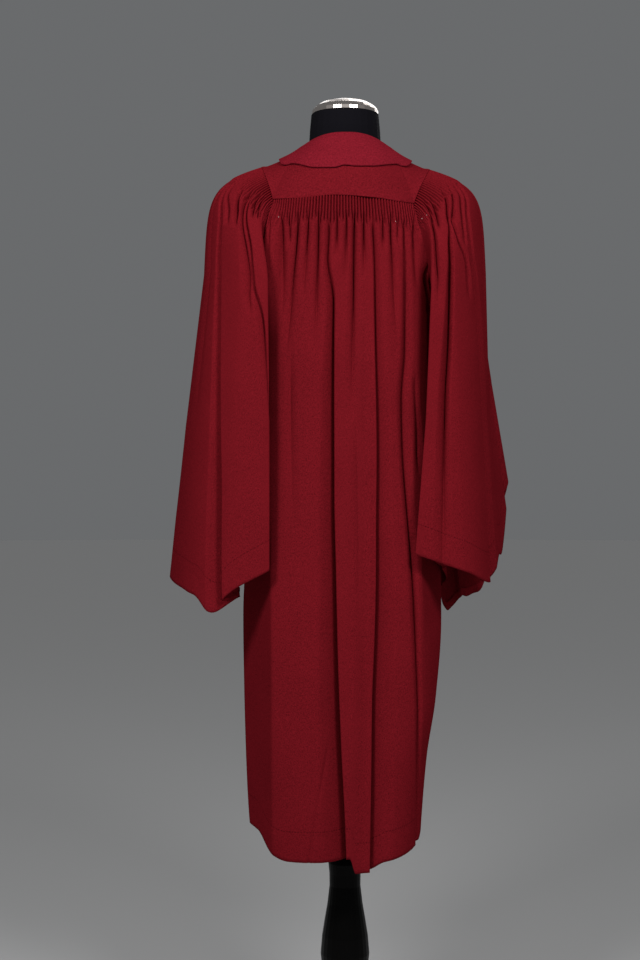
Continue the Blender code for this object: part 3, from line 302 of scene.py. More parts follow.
def bend(start, control, end, t):
    """A curve from start to end that is drawn towards the control point."""
    return (1 - t) ** 2 * start + 2 * t * (1 - t) * control + t * t * end


def curve(keys, values, at):
    """Reads values by their keys with a smooth curve that doesn't overshoot."""
    keys, values = np.asarray(keys, float), np.asarray(values, float)
    if keys[0] > keys[-1]:
        keys, values = keys[::-1], values[::-1]
    at = np.clip(np.asarray(at, float), keys[0], keys[-1])
    k = np.clip(np.searchsorted(keys, at, side="right") - 1, 0, len(keys) - 2)
    steps = np.diff(keys)
    slopes = np.diff(values) / steps
    tangents = np.concatenate((slopes[:1], np.zeros(len(keys) - 2), slopes[-1:]))
    for i in range(1, len(keys) - 1):
        if slopes[i - 1] * slopes[i] > 0:
            tangents[i] = 2 * slopes[i - 1] * slopes[i] / (slopes[i - 1] + slopes[i])
    t = (at - keys[k]) / steps[k]
    return blend(values[k], steps[k] * tangents[k], values[k + 1], steps[k] * tangents[k + 1], t)


def ease(t):
    t = np.clip(t, 0.0, 1.0)
    return t * t * (3 - 2 * t)


def mix(a, b, t):
    return a + (b - a) * t


def unit(v):
    return v / np.maximum(np.linalg.norm(v, axis=-1, keepdims=True), 1e-12)


# the trunk
def trunk(turn, z):
    """Points of the trunk without folds; turn 0 is the centre back, +90 degrees is +X."""
    turn, z = np.broadcast_arrays(np.asarray(turn, float), np.asarray(z, float))
    left, right, back, front, power = (curve(TRUNK[:, 0], TRUNK[:, k], z) for k in range(1, 6))
    width = np.where(turn > 0, right, left)
    depth = np.where(np.abs(turn) < math.pi / 2, back, front)
    s, c = np.abs(np.sin(turn)), np.abs(np.cos(turn))
    r = ((s / width) ** power + (c / depth) ** power) ** (-1 / power)
    return np.stack((r * np.sin(turn), -r * np.cos(turn), z), -1)


def trunk_frame(turn, z):
    """Points of the trunk, with the directions along its section and out of it."""
    here, ahead = trunk(turn, z), trunk(turn + 0.01, z)
    along = unit(ahead - here)
    return here, along, np.stack((along[..., 1], -along[..., 0], np.zeros_like(z)), -1)


def turn_of(x, z):
    """The turn at which the back of the trunk has this x."""
    turns = np.linspace(-math.pi / 2, math.pi / 2, 721)
    return float(np.interp(x, trunk(turns, z)[:, 0], turns))


CORNER = {-1: BACK_SEAM[0], 1: BACK_SEAM[-1]}
CORNER_TURN = {side: turn_of(CORNER[side][0], CORNER[side][1]) for side in (-1, 1)}
FRONT_CORNER_TURN = math.radians(137)

# The yoke's side seam past the shoulder: how far it comes in, goes forward and goes down.
FRONT_SEAM_IN = 0.020
FRONT_SEAM_FORWARD = 0.088
FRONT_SEAM_DOWN = 0.066
SIDE_SEAM_BOW = 1.2  # over 1, the seam behind the shoulder bows inwards


def armhole_turn(side, z):
    """The turn at which the back ends beside the armhole, and below it."""
    top = CORNER[side][1]
    share = np.arcsin(np.clip((top - z) / (top - UNDERARM_HEIGHT), 0, 1))
    start = CORNER_TURN[side]
    turn = start + (side * math.pi / 2 - start) * (1 - np.cos(share))
    return np.where(z <= UNDERARM_HEIGHT, side * math.pi / 2, turn)


def front_armhole_turn(side, z):
    """The same for the front."""
    share = np.arcsin(np.clip((FRONT_ARMHOLE_HEIGHT - z) / (FRONT_ARMHOLE_HEIGHT - UNDERARM_HEIGHT), 0, 1))
    turn = FRONT_CORNER_TURN + (math.pi / 2 - FRONT_CORNER_TURN) * (1 - np.cos(share))
    return np.where(z <= UNDERARM_HEIGHT, side * math.pi / 2, side * turn)


def side_seam(side, share):
    """The yoke's side seam: 0 at the back corner, 1 at the shoulder, past 1 to the front."""
    x_back, z_back = CORNER[side]
    if share <= 1:
        y_back = trunk(CORNER_TURN[side], z_back)[1]
        angle = share * math.pi / 2
        x = mix(x_back, side * SHOULDER_WIDTH[side], math.sin(angle) ** SIDE_SEAM_BOW)
        return np.array((x, y_back * math.cos(angle), mix(z_back, SHOULDER_HEIGHT[side], math.sin(angle))))
    angle = (share - 1) * FRONT_SEAM_TURN
    x = side * (SHOULDER_WIDTH[side] - FRONT_SEAM_IN * (1 - math.cos(angle)))
    z = SHOULDER_HEIGHT[side] - FRONT_SEAM_DOWN * (1 - math.cos(angle))
    return np.array((x, FRONT_SEAM_FORWARD * math.sin(angle), z))


# the yoke
YOKE_SIDE_SHARE = 0.24  # share of the yoke's outline that each side seam takes
NECK_END_DROP = 0.012  # fall of the neck edge in front, per radian
YOKE_CROWN = 0.0015  # how much the yoke arches between neck and edge
# How a line of the yoke bends down over the back, as shares of its way out in x, y and z. The
# bend sets in where the edge is this far behind the middle, and is full after the span.
BACK_BEND = np.array((0.62, 0.80, 0.24))
YOKE_BEND_START = 0.02
YOKE_BEND_SPAN = 0.08


def yoke_outer(s):
    """The yoke's edge: 0 at its left front end, 1 at its right one, over the back between them."""
    if s < YOKE_SIDE_SHARE:
        return side_seam(-1, 2 - 2 * s / YOKE_SIDE_SHARE)
    if s > 1 - YOKE_SIDE_SHARE:
        return side_seam(1, 2 - 2 * (1 - s) / YOKE_SIDE_SHARE)
    across = (s - YOKE_SIDE_SHARE) / (1 - 2 * YOKE_SIDE_SHARE)
    x = mix(BACK_SEAM[0][0], BACK_SEAM[-1][0], across)
    z = float(curve(BACK_SEAM[:, 0], BACK_SEAM[:, 1], x))
    return trunk(turn_of(x, z), z)


def yoke_inner(s):
    """The yoke's neck edge, by the same measure."""
    turn = (s * 2 - 1) * NECK_END_TURN
    height = mix(NECK_BACK_HEIGHT, NECK_SIDE_HEIGHT, math.sin(min(abs(turn), math.pi / 2)) ** 2)
    height -= NECK_END_DROP * max(0.0, abs(turn) - math.pi / 2)
    return np.array((NECK_HALF_WIDTH * math.sin(turn), -NECK_HALF_DEPTH * math.cos(turn), height))


def yoke_softened(s):
    """The yoke's outline averaged over its neighbourhood, so that no crease runs in from a corner."""
    total = np.zeros(3)
    for step in range(-3, 4):
        place = min(1.0, max(0.0, s + step * YOKE_SOFTENING / 3))
        total = total + yoke_outer(place) * (4 - abs(step)) / 16
    return total


def yoke_column(s):
    """The points that shape a line of the yoke from the neck out to its edge."""
    inner, outer = yoke_inner(s), yoke_softened(s)
    back = float(ease((-outer[1] - YOKE_BEND_START) / YOKE_BEND_SPAN))
    control = (inner + outer) / 2 + np.array((0.0, 0.0, YOKE_CROWN))
    rounded = mix(inner, outer, BACK_BEND)
    return inner, mix(control, rounded, back), outer, yoke_outer(s) - outer


def yoke_line(inner, control, outer, corner, r):
    """Points of one line of the yoke, with the softened corner given back at its edge."""
    return bend(inner, control, outer, r) + corner * r ** 4


def yoke_grid(places, reaches):
    """Points of the yoke: rows go from the neck outwards, columns go round."""
    columns = [yoke_column(float(s)) for s in places]
    shaping = [np.array([c[k] for c in columns])[None] for k in range(4)]
    r = np.asarray(reaches)
    r = r.reshape(-1, 1, 1) if r.ndim == 1 else r[..., None]
    return yoke_line(*shaping, r)


# the back panel
LEVEL_STEP = 0.004
LEVELS = np.arange(0.340, 1.4961, LEVEL_STEP)
TURNS = np.linspace(-math.pi / 2, math.pi / 2, 361)
CENTRE = len(TURNS) // 2
SECTION = trunk(TURNS[None], LEVELS[:, None])
ARC = np.zeros(SECTION.shape[:2])
ARC[:, 1:] = np.cumsum(np.linalg.norm(np.diff(SECTION, axis=1), axis=-1), axis=1)
ARC -= ARC[:, CENTRE:CENTRE + 1]
FIRST_ARC, LAST_ARC = (
    np.array([np.interp(float(armhole_turn(side, z)) - side * SEAM_TURN, TURNS, ARC[k])
              for k, z in enumerate(LEVELS)])
    for side in (-1, 1))
SHARE_STEPS = 400
SHARES = np.linspace(0, 1, SHARE_STEPS + 1)
SHARE_TURN = np.array([np.interp(mix(FIRST_ARC[k], LAST_ARC[k], SHARES), ARC[k], TURNS)
                       for k in range(len(LEVELS))])
EDGE_REACH = 22  # levels above and below that a straightened column is averaged with
EDGE_POWER = 12  # how near to an edge the bend of the armhole is kept
CUSP = 0.985  # at 1, the two sides of a fold would stand upright where they meet
LIP_PER_WIDTH = 0.42  # a fold's lips lean in by no more than this, per half width
LIP_PER_DEPTH = 0.16  # and by no more than this, per depth
GATHER_SHOULDER = 20  # millimetres under its top where a gather is nearly full
GATHER_FULL = 38  # and where it is full
GATHER_SHARPNESS = 1.5
FLUTE_ROUNDNESS = 0.6  # under 1, the ridges are round and the valleys narrow
# Waves in the length of the flutes: size, radians per flute and start.
FLUTE_UNEVENNESS = ((0.004, 1.7, 0.0), (0.003, 0.61, 1.0))
HEM_DIP = 0.0004  # the turned edge's inner corner lies this much lower
HEM_SLACK = 0.0006  # and what runs back up stands this much further in
BACK_BAND = 0.070  # finely divided band under the back's seam
BACK_EDGE_SHARE = 0.008  # the flutes die out this near to the back's edges
BACK_LIP = 0.0025  # how far in the tucked row lies under the yoke


def between(table, z, share):
    """Reads a table of levels by shares at any height and share."""
    row = np.clip((z - LEVELS[0]) / LEVEL_STEP, 0, len(LEVELS) - 1.001)
    col = np.clip(share * SHARE_STEPS, 0, SHARE_STEPS - 0.001)
    i, j = row.astype(int), col.astype(int)
    t, s = row - i, col - j
    return mix(mix(table[i, j], table[i, j + 1], s), mix(table[i + 1, j], table[i + 1, j + 1], s), t)


def fold_profile(away, left, right, sharpness):
    """The depth of a fold across it: round shoulders that meet in a cusp, or a soft swell."""
    width = np.where(away < 0, left, right)
    if sharpness >= SWELL:
        return np.exp(-(away / width) ** 2)
    t = np.clip(np.abs(away) / (width * FOLD_REACH), 0, 1)
    return 1 - (1 - CUSP * (1 - t) ** sharpness) ** (1 / sharpness)


def lean(away, left, right):
    """How far the two lips of a fold lean in over it."""
    t = np.abs(away) / np.where(away < 0, left, right)
    return -np.sign(away) * t * t * np.exp(2 * (1 - t))


def fold_shift(away, depth, left, right):
    """How far points move sideways: the lips lean in, and an uneven fold slides under its sharp side."""
    narrow = np.minimum(np.minimum(left, right) * LIP_PER_WIDTH, np.abs(depth) * LIP_PER_DEPTH)
    under = UNDERLAP * depth * (left - right) / (left + right)
    near = np.where(away < 0, left, right)
    return narrow * lean(away, left, right) + under * np.exp(-np.abs(away / near) ** 1.5)


def gather_rows(x_top, x_end, end, depth, width):
    """The rows of a gather that starts inside the flutes and dies out at its end."""
    full = GATHER_TOP - GATHER_FULL
    heights = (GATHER_TOP, GATHER_TOP - GATHER_SHOULDER, full, mix(full, end, 0.5), end)
    depths = (0.0, 0.85 * depth, depth, 0.55 * depth, 0.0)
    widths = (0.7 * width, 0.85 * width, width, 1.2 * width, 1.5 * width)
    return GATHER_SHARPNESS, tuple(
        (height, mix(x_top, x_end, (GATHER_TOP - height) / (GATHER_TOP - end)), sink, wide, wide)
        for height, sink, wide in zip(heights, depths, widths))


def smoothed(values, reach):
    """Each value averaged with its neighbours on both sides."""
    padded = np.pad(values, reach, mode="edge")
    return np.convolve(padded, np.full(2 * reach + 1, 1 / (2 * reach + 1)), mode="valid")


def even_share(z, share):
    """Keeps the columns straight past the armholes, while those next to the edges take up the bend."""
    first, last = np.interp(z, LEVELS, FIRST_ARC), np.interp(z, LEVELS, LAST_ARC)
    even_first = np.interp(z, LEVELS, smoothed(FIRST_ARC, EDGE_REACH))
    even_last = np.interp(z, LEVELS, smoothed(LAST_ARC, EDGE_REACH))
    arc = (mix(even_first, even_last, share) + (first - even_first) * (1 - share) ** EDGE_POWER
           + (last - even_last) * share ** EDGE_POWER)
    return np.clip((arc - first) / (last - first), 0, 1)


def back_point(z, share, flute):
    """Points of the back panel: height, share of the way across it, and height of the flutes there."""
    share = even_share(z, share)
    base, along, outward = trunk_frame(between(SHARE_TURN, z, share), z)
    arc = mix(np.interp(z, LEVELS, FIRST_ARC), np.interp(z, LEVELS, LAST_ARC), share)
    sink, shift = np.zeros_like(z), np.zeros_like(z)
    folds = BACK_FOLDS + tuple(gather_rows(*gather) for gather in BACK_GATHERS)
    for sharpness, rows in folds + tuple((SWELL, rows) for rows in BACK_SWELLS):
        rows = np.array(rows) / 1000
        x = curve(rows[:, 0], rows[:, 1], LEVELS)
        place = np.array([np.interp(x[k], SECTION[k, :, 0], ARC[k]) for k in range(len(LEVELS))])
        depth, left, right = (curve(rows[:, 0], rows[:, k], z) for k in (2, 3, 4))
        away = arc - np.interp(z, LEVELS, place)
        sink += depth * fold_profile(away, left, right, sharpness)
        if sharpness < SWELL:
            shift += fold_shift(away, depth, left, right)
    point = base + outward * (flute - sink)[..., None] + along * shift[..., None]
    for side, (angle, rows) in BACK_FACETS.items():
        rows = np.array(rows)
        edge_x, amount = (curve(rows[:, 0], rows[:, k], LEVELS) for k in (1, 2))
        edge = np.array([trunk(turn_of(edge_x[k], LEVELS[k]), LEVELS[k]) for k in range(len(LEVELS))])
        away = np.array((side * math.sin(angle), -math.cos(angle), 0.0))
        limit = np.interp(z, LEVELS, edge @ away)
        beyond = point @ away - limit
        cut = 0.5 * (beyond + np.sqrt(beyond ** 2 + FACET_ROUNDING ** 2)) * np.interp(z, LEVELS, amount)
        point = point - away * cut[..., None]
    return point


def flute_wave(phase, down, reach):
    """The height of the flutes: round ridges, narrow valleys, dying out down the cloth."""
    wave = np.abs(np.cos(math.pi * phase)) ** FLUTE_ROUNDNESS
    uneven = sum(size * np.sin(phase * rate + start) for size, rate, start in FLUTE_UNEVENNESS)
    length = 1 - ease((down - reach - uneven) / FLUTE_FADE)
    return (FLUTE_RIDGE * wave - FLUTE_VALLEY) * length


def turned_hem(grid, axis):
    """Adds the turned edge below the last row; axis is the line that the cloth hangs round."""
    last, before = grid[-1], grid[-2]
    inward = axis - last
    inward[:, 2] = 0
    inward = unit(inward)
    up = unit(before - last)
    return np.concatenate((grid, (last + inward * EDGE_TURN - up * HEM_DIP)[None],
                           (last + inward * (EDGE_TURN + HEM_SLACK) + up * HEM_RETURN)[None]))


def back_panel_grid():
    columns = BACK_FLUTES * FLUTE_POINTS + 1
    share = np.linspace(0, 1, columns)[None]
    near, far = np.linspace(0, 1, 30)[:, None], np.linspace(0, 1, 160)[1:, None]
    x = mix(BACK_SEAM[0][0], BACK_SEAM[-1][0], share)
    top = curve(BACK_SEAM[:, 0], BACK_SEAM[:, 1], x) - SEAM_GAP
    hem = curve(BACK_HEM[:, 0], BACK_HEM[:, 1], share)
    z = np.concatenate((top - BACK_BAND * near, mix(top - BACK_BAND, hem, far)))
    share = np.broadcast_to(share, z.shape)
    edge = ease(share / BACK_EDGE_SHARE) * ease((1 - share) / BACK_EDGE_SHARE)
    flute = flute_wave(share * BACK_FLUTES, top - z, BACK_FLUTE_LENGTH) * edge
    grid = back_point(z, share, flute)
    lip = grid[:1] + np.array((0.0, BACK_LIP, SEAM_TUCK))
    return turned_hem(np.concatenate((lip, grid)), np.zeros(3))


# the sleeves
# How the cloth bends from the yoke's front down to the chest, as shares in x, y and z.
CHEST_BEND = np.array((0.45, 0.82, 0.25))
SLEEVE_OFFSET = 0.0012  # gap between the armhole and the sleeve's first row
UNDERARM_OFFSET = 2.4  # how many times that gap is added under the arm
# A sleeve spreads from a point inside the shoulder: distance from the middle and height.
SLEEVE_ROOT = (0.10, 1.42)
SLEEVE_ROOT_REACH = 0.03  # least distance outwards from that point
# Directions in which the cloth leaves the armhole, under the arm and at the shoulder: outwards,
# the part of its way to the back or the front, and up. The reaches go with them.
LEAVE_LOW = np.array((0.55, 0.8, -0.68))
LEAVE_TOP = np.array((0.94, 0.6, -0.30))
LEAVE_REACH = (0.016, 0.096)
HANG_REACH = (0.30, 0.72)  # shares of the drop over which it comes to hang
HANG_IN = 0.006
FLUTES_START = -0.055  # the flutes start in front of the shoulder
SHOULDER_SPLIT = 0.30  # down to here the rows of the mesh are closest
# Columns of the mesh over which the flutes die out, under the arm and in front of the shoulder.
FLUTE_FADE_COLUMNS = (12, 30)
SLEEVE_TUCK = 0.0018  # how far in the sleeve's hidden first row lies


def armhole(side, a):
    """Points round the armhole: 0 at the shoulder, then down the back and up the front."""
    a = a % 1.0
    if a <= BACK_CORNER_SHARE:
        return side_seam(side, 1 - a / BACK_CORNER_SHARE)
    if a <= UNDERARM_SHARE:
        share = (a - BACK_CORNER_SHARE) / (UNDERARM_SHARE - BACK_CORNER_SHARE) * math.pi / 2
        z = mix(CORNER[side][1], UNDERARM_HEIGHT, math.sin(share))
        return trunk(armhole_turn(side, z), z)
    if a <= CHEST_SHARE:
        share = (CHEST_SHARE - a) / (CHEST_SHARE - UNDERARM_SHARE) * math.pi / 2
        z = mix(FRONT_ARMHOLE_HEIGHT, UNDERARM_HEIGHT, math.sin(share))
        return trunk(front_armhole_turn(side, z), z)
    low = trunk(front_armhole_turn(side, FRONT_ARMHOLE_HEIGHT), FRONT_ARMHOLE_HEIGHT)
    high = side_seam(side, 2.0)
    if a <= FRONT_CORNER_SHARE:
        t = (a - CHEST_SHARE) / (FRONT_CORNER_SHARE - CHEST_SHARE)
        return bend(low, mix(high, low, CHEST_BEND), high, t)
    return side_seam(side, 2 - (a - FRONT_CORNER_SHARE) / (1 - FRONT_CORNER_SHARE))


def round_read(values, a):
    """Reads values given at the sleeve's places, round the tube."""
    a = np.asarray(a) % 1.0
    count = len(SLEEVE_PLACES)
    values = np.asarray(values, float).reshape(count, -1)
    places = np.array(SLEEVE_PLACES + (1.0,))
    spans = np.diff(places)
    k = np.clip(np.searchsorted(places, a, side="right") - 1, 0, count - 1)
    before, after, next_after = (k - 1) % count, (k + 1) % count, (k + 2) % count
    span = spans[k][:, None]
    leave = (values[after] - values[before]) / (span + spans[before][:, None]) * span
    arrive = (values[next_after] - values[k]) / (span + spans[after][:, None]) * span
    return blend(values[k], leave, values[after], arrive, (a - places[k])[:, None] / span)


def sleeve_base(side, a, ways):
    """The sleeve without folds: rows go from the armhole down, columns go round."""
    start = round_read(SLEEVE_START, a)[:, 0]
    hem = round_read(SLEEVE_HEM[side], a)[:, 0]
    for centre, drop, half_width in SLEEVE_HEM_DROP[side]:
        hem = hem - drop * np.exp(-((a % 1.0 - centre) / half_width) ** 2)
    top, middle, low = (round_read(section, a) for section in SLEEVE_SECTIONS[side])
    seam = np.array([armhole(side, float(v)) for v in a])
    away = seam - np.array((side * SLEEVE_ROOT[0], 0.0, SLEEVE_ROOT[1]))
    away[:, 0] = side * np.maximum(np.abs(away[:, 0]), SLEEVE_ROOT_REACH)
    away = unit(away)
    over = (np.cos(math.pi * a) ** 2)[:, None]
    facing = np.stack((np.full(len(a), float(side)), away[:, 1], np.ones(len(a))), -1)
    leave = unit(mix(LEAVE_LOW, LEAVE_TOP, over) * facing)
    offset = SLEEVE_OFFSET * (1 + UNDERARM_OFFSET * np.sin(math.pi * (a % 1.0)) ** 8)
    first = seam + leave * offset[:, None]
    end = np.stack((side * top[:, 0], top[:, 1], start), -1)
    drop = (seam[:, 2] - start)[:, None]
    control_a = first + leave * mix(*LEAVE_REACH, over)
    control_b = end + np.concatenate((-side * HANG_IN * over, 0 * over, mix(*HANG_REACH, over) * drop), 1)
    rows = []
    for way in ways:
        if way <= 1:
            t = way
            rows.append((1 - t) ** 3 * first + 3 * t * (1 - t) ** 2 * control_a
                        + 3 * t * t * (1 - t) * control_b + t ** 3 * end)
        else:
            down = way - 1
            flat = mix(top, middle, down * 2) if down < 0.5 else mix(middle, low, down * 2 - 1)
            rows.append(np.stack((side * flat[:, 0], flat[:, 1], mix(start, hem, down)), -1))
    return np.array(rows)


def grid_normals(grid, closed):
    """Directions square to a grid of points; closed when its last column meets its first."""
    if closed:
        round_ = np.roll(grid, -1, 1) - np.roll(grid, 1, 1)
    else:
        round_ = np.gradient(grid, axis=1)
    return unit(np.cross(np.gradient(grid, axis=0), round_))


def sleeve_grid(side):
    flutes = SLEEVE_FLUTES * FLUTE_POINTS
    under = UNDER_FLUTES * FLUTE_POINTS
    first = FLUTES_START
    a = np.concatenate((np.linspace(first, BACK_CORNER_SHARE, flutes + 1),
                        np.linspace(BACK_CORNER_SHARE, UNDER_SHARE, under + 1)[1:],
                        np.linspace(UNDER_SHARE, 1 + first, 106)[1:-1]))
    ways = np.concatenate((np.linspace(0, SHOULDER_SPLIT, 28),
                           np.linspace(SHOULDER_SPLIT, 1.0, 36)[1:],
                           np.linspace(1.0, 2.0, 100)[1:]))
    base = sleeve_base(side, a, ways)
    normals = grid_normals(base, True)
    spread = base - base.mean(axis=1, keepdims=True)
    hanging = ways >= 1
    if np.sum(normals[hanging] * spread[hanging]) < 0:
        normals = -normals
    way = ways[:, None] + 0 * a[None]
    steps = np.linalg.norm(np.roll(base, -1, 1) - base, axis=-1)
    girth = steps.sum(1)
    arc = np.cumsum(steps, axis=1) - steps
    down = np.zeros(way.shape)
    down[1:] = np.cumsum(np.linalg.norm(np.diff(base, axis=0), axis=-1), axis=0)
    sink, shift = np.zeros(way.shape), np.zeros(way.shape)
    for sharpness, rows in SLEEVE_FOLDS[side]:
        rows = np.array(rows, float)
        turns = np.unwrap(rows[:, 1] * 2 * math.pi) / (2 * math.pi)
        place = (curve(rows[:, 0], turns, ways) - first) % 1.0 + first
        here = np.array([np.interp(place[k], a, arc[k]) for k in range(len(ways))])
        depth, left, right = (curve(rows[:, 0], rows[:, k], way) / 1000 for k in (2, 3, 4))
        away = (arc - here[:, None] + girth[:, None] / 2) % girth[:, None] - girth[:, None] / 2
        sink += depth * fold_profile(away, left, right, sharpness)
        shift += fold_shift(away, depth, left, right)
    k = np.arange(len(a))
    edge = ease((flutes + under - k) / FLUTE_FADE_COLUMNS[0]) * ease(k / FLUTE_FADE_COLUMNS[1])
    reach = mix(SLEEVE_FLUTE_LENGTH, UNDER_FLUTE_LENGTH, ease((k - flutes + under / 2) / (1.5 * under)))
    flute = flute_wave(k[None] / FLUTE_POINTS, down, reach[None]) * edge[None]
    round_ = unit(np.roll(base, -1, 1) - np.roll(base, 1, 1))
    grid = base + normals * (flute - sink)[..., None] + round_ * shift[..., None]
    inward = grid[:1] - normals[:1] * SLEEVE_TUCK
    start = inward - unit(grid[1:2] - grid[:1]) * SEAM_TUCK
    return turned_hem(np.concatenate((start, grid)), grid[-1].mean(axis=0))


# the fronts
FRONT_FOLDS_TOP = 1.46  # the folds change from their top rows to their hem rows from here
FRONT_FOLDS_DROP = 1.0  # over this height
FRONT_WIDTH = 0.29  # of the cloth, from the armhole to the open edge
FRONT_SEAM_SINK = 0.0002  # how much lower than the yoke's end a front starts
FRONT_TUCK = np.array((0.0, -0.002, -0.002))  # its hidden first row lies under the yoke


def front_point(side, z, share):
    """Points of a front: height, and share of the way from the open edge to the armhole."""
    depth = curve(TRUNK[:, 0], TRUNK[:, 4], z)
    start = math.pi - np.arctan2(curve(FRONT_EDGE[:, 0], FRONT_EDGE[:, 1], z), depth)
    turn = mix(side * start, front_armhole_turn(side, z) + side * SEAM_TURN, share)
    here, _, outward = trunk_frame(turn, z)
    down = ease((FRONT_FOLDS_TOP - z) / FRONT_FOLDS_DROP)
    sink = np.zeros_like(z)
    for top, hem, depth_top, depth_hem, half_width in FRONT_FOLDS[side]:
        away = (share - mix(top, hem, down)) * FRONT_WIDTH
        sink += mix(depth_top, depth_hem, down) * np.exp(-np.abs(away / half_width) ** 1.5)
    return here - outward * sink[..., None]


def front_grid(side):
    share = np.linspace(0, 1, 121)
    end = 0.0 if side < 0 else 1.0
    seam = yoke_line(*yoke_column(end), share[:, None])
    seam = seam + np.array((0.0, SEAM_GAP, -FRONT_SEAM_SINK))
    seam[:, 0] -= side * SEAM_GAP * share
    z = np.full(len(share), FRONT_ARMHOLE_HEIGHT)
    chest = front_point(side, z, share)
    control = mix(seam, chest, CHEST_BEND)
    rows = [seam + FRONT_TUCK]
    for t in np.linspace(0, 1, 25)[:-1]:
        rows.append(bend(seam, control, chest, t))
    hem = mix(FRONT_HEM_CENTRE, FRONT_HEM_SIDE[side], ease(share))
    down = np.linspace(0, 1, 180)[:, None]
    z = mix(FRONT_ARMHOLE_HEIGHT, hem[None], down)
    lower = front_point(side, z, np.broadcast_to(share[None], z.shape))
    return turned_hem(np.concatenate((np.array(rows), lower)), np.zeros(3))


# the collar
# The collar's section: how far outside the neck edge its foot, its stand, the top of its roll and
# the roll's outer side lie, and how far the stand and the outer side stay under the top.
COLLAR_OUT = (-0.0012, -0.0010, 0.0030, 0.0068)
COLLAR_FOOT_HEIGHT = 0.0009
COLLAR_STAND_DROP = 0.0035
COLLAR_ROLL_DROP = 0.0040
LOW_STAND = 0.72  # on a low roll the stand goes up to this share of its height
LOW_ROLL = 0.25  # and the outer side stays down by this share
# The fall lies on the yoke: share of its reach and height over the yoke.
COLLAR_FALL = ((0.30, 0.0068), (0.55, 0.0052), (0.80, 0.0044), (1.0, 0.0040))
COLLAR_LOW_LIFT = 0.0040  # the fall's height over the yoke where the roll is low
COLLAR_HIGH_ROLL = 0.012  # a roll of this height or more is a high one
COLLAR_PROBE = 0.02  # how far the yoke is read on both sides of a point
COLLAR_EDGE = 0.0024  # thickness of the collar's outer edge


def collar_grid():
    """The collar: up inside the neck edge, over its roll and down on the yoke."""
    places = np.linspace(COLLAR[0, 0], COLLAR[-1, 0], 241)
    height, fall = curve(COLLAR[:, 0], COLLAR[:, 1], places), curve(COLLAR[:, 0], COLLAR[:, 2], places)
    neck = np.array([yoke_inner(float(s)) for s in places])
    inward = unit(-neck * np.array((1.0, 1.0, 0.0)))
    up = np.array((0.0, 0.0, 1.0))
    h = height[:, None]
    rises = (0 * h + COLLAR_FOOT_HEIGHT, np.maximum(h - COLLAR_STAND_DROP, h * LOW_STAND), h,
             h - np.minimum(COLLAR_ROLL_DROP, LOW_ROLL * h))
    section = [neck - inward * out + up * rise for out, rise in zip(COLLAR_OUT, rises)]
    low = 1 - np.minimum(1.0, h / COLLAR_HIGH_ROLL)
    for share, lift in COLLAR_FALL:
        r = (fall * share)[None]
        grid = yoke_grid(places, np.concatenate((np.maximum(r - COLLAR_PROBE, 0), r, r + COLLAR_PROBE)))
        normal = unit(np.cross(grid[2] - grid[0], np.gradient(grid[1], axis=0)))
        normal = normal * np.where(normal[:, 2:] < 0, -1, 1)
        section.append(grid[1] + normal * mix(lift, COLLAR_LOW_LIFT, low))
    section = np.array(section)
    keys = np.concatenate(((0.0,), np.cumsum(np.linalg.norm(np.diff(section, axis=0), axis=-1).mean(1))))
    keys = keys / keys[-1]
    fine = np.linspace(0, 1, 48)
    rows = np.empty((len(fine), len(places), 3))
    for k in range(len(places)):
        for axis in range(3):
            rows[:, k, axis] = curve(keys, section[:, k, axis], fine)
    return np.concatenate((rows, (rows[-1] - normal * COLLAR_EDGE)[None]))


# meshes
def corners_of(table):
    """For every square of a grid, what the table holds at its four corners."""
    return np.stack((table[:-1, :-1], table[1:, :-1], table[1:, 1:], table[:-1, 1:]), 2)


def shell(name, grid, closed=False, flip=False, turned=0):
    """A mesh from a grid of points, with its place on the cloth kept for the weave.

    turned is the number of rows past the hem's edge, which is where the place counts up from.
    """
    rows, cols = grid.shape[:2]
    number = np.arange(rows * cols).reshape(rows, cols)
    if closed:
        number = np.concatenate((number, number[:, :1]), 1)
    faces = corners_of(number).reshape(-1, 4)
    if flip:
        faces = faces[:, ::-1]
    mesh = bpy.data.meshes.new(name)
    mesh.from_pydata(grid.reshape(-1, 3).tolist(), [], faces.tolist())
    full = np.concatenate((grid, grid[:, :1]), 1) if closed else grid
    across = np.zeros(full.shape[:2])
    across[:, 1:] = np.cumsum(np.linalg.norm(np.diff(full, axis=1), axis=-1), axis=1)
    across = np.broadcast_to(across.mean(0)[None], across.shape)
    down = np.zeros(full.shape[:2])
    down[1:] = np.cumsum(np.linalg.norm(np.diff(full, axis=0), axis=-1), axis=0)
    above = down[len(down) - 1 - turned] - down
    place = np.stack((across, down, above), -1)
    corners = corners_of(place).reshape(-1, 4, 3)
    if flip:
        corners = corners[:, ::-1]
    layer = mesh.attributes.new("cloth_place", "FLOAT_VECTOR", "CORNER")
    layer.data.foreach_set("vector", corners.astype(np.float32).ravel())
    mesh.shade_smooth()
    item = bpy.data.objects.new(name, mesh)
    bpy.context.scene.collection.objects.link(item)
    return item


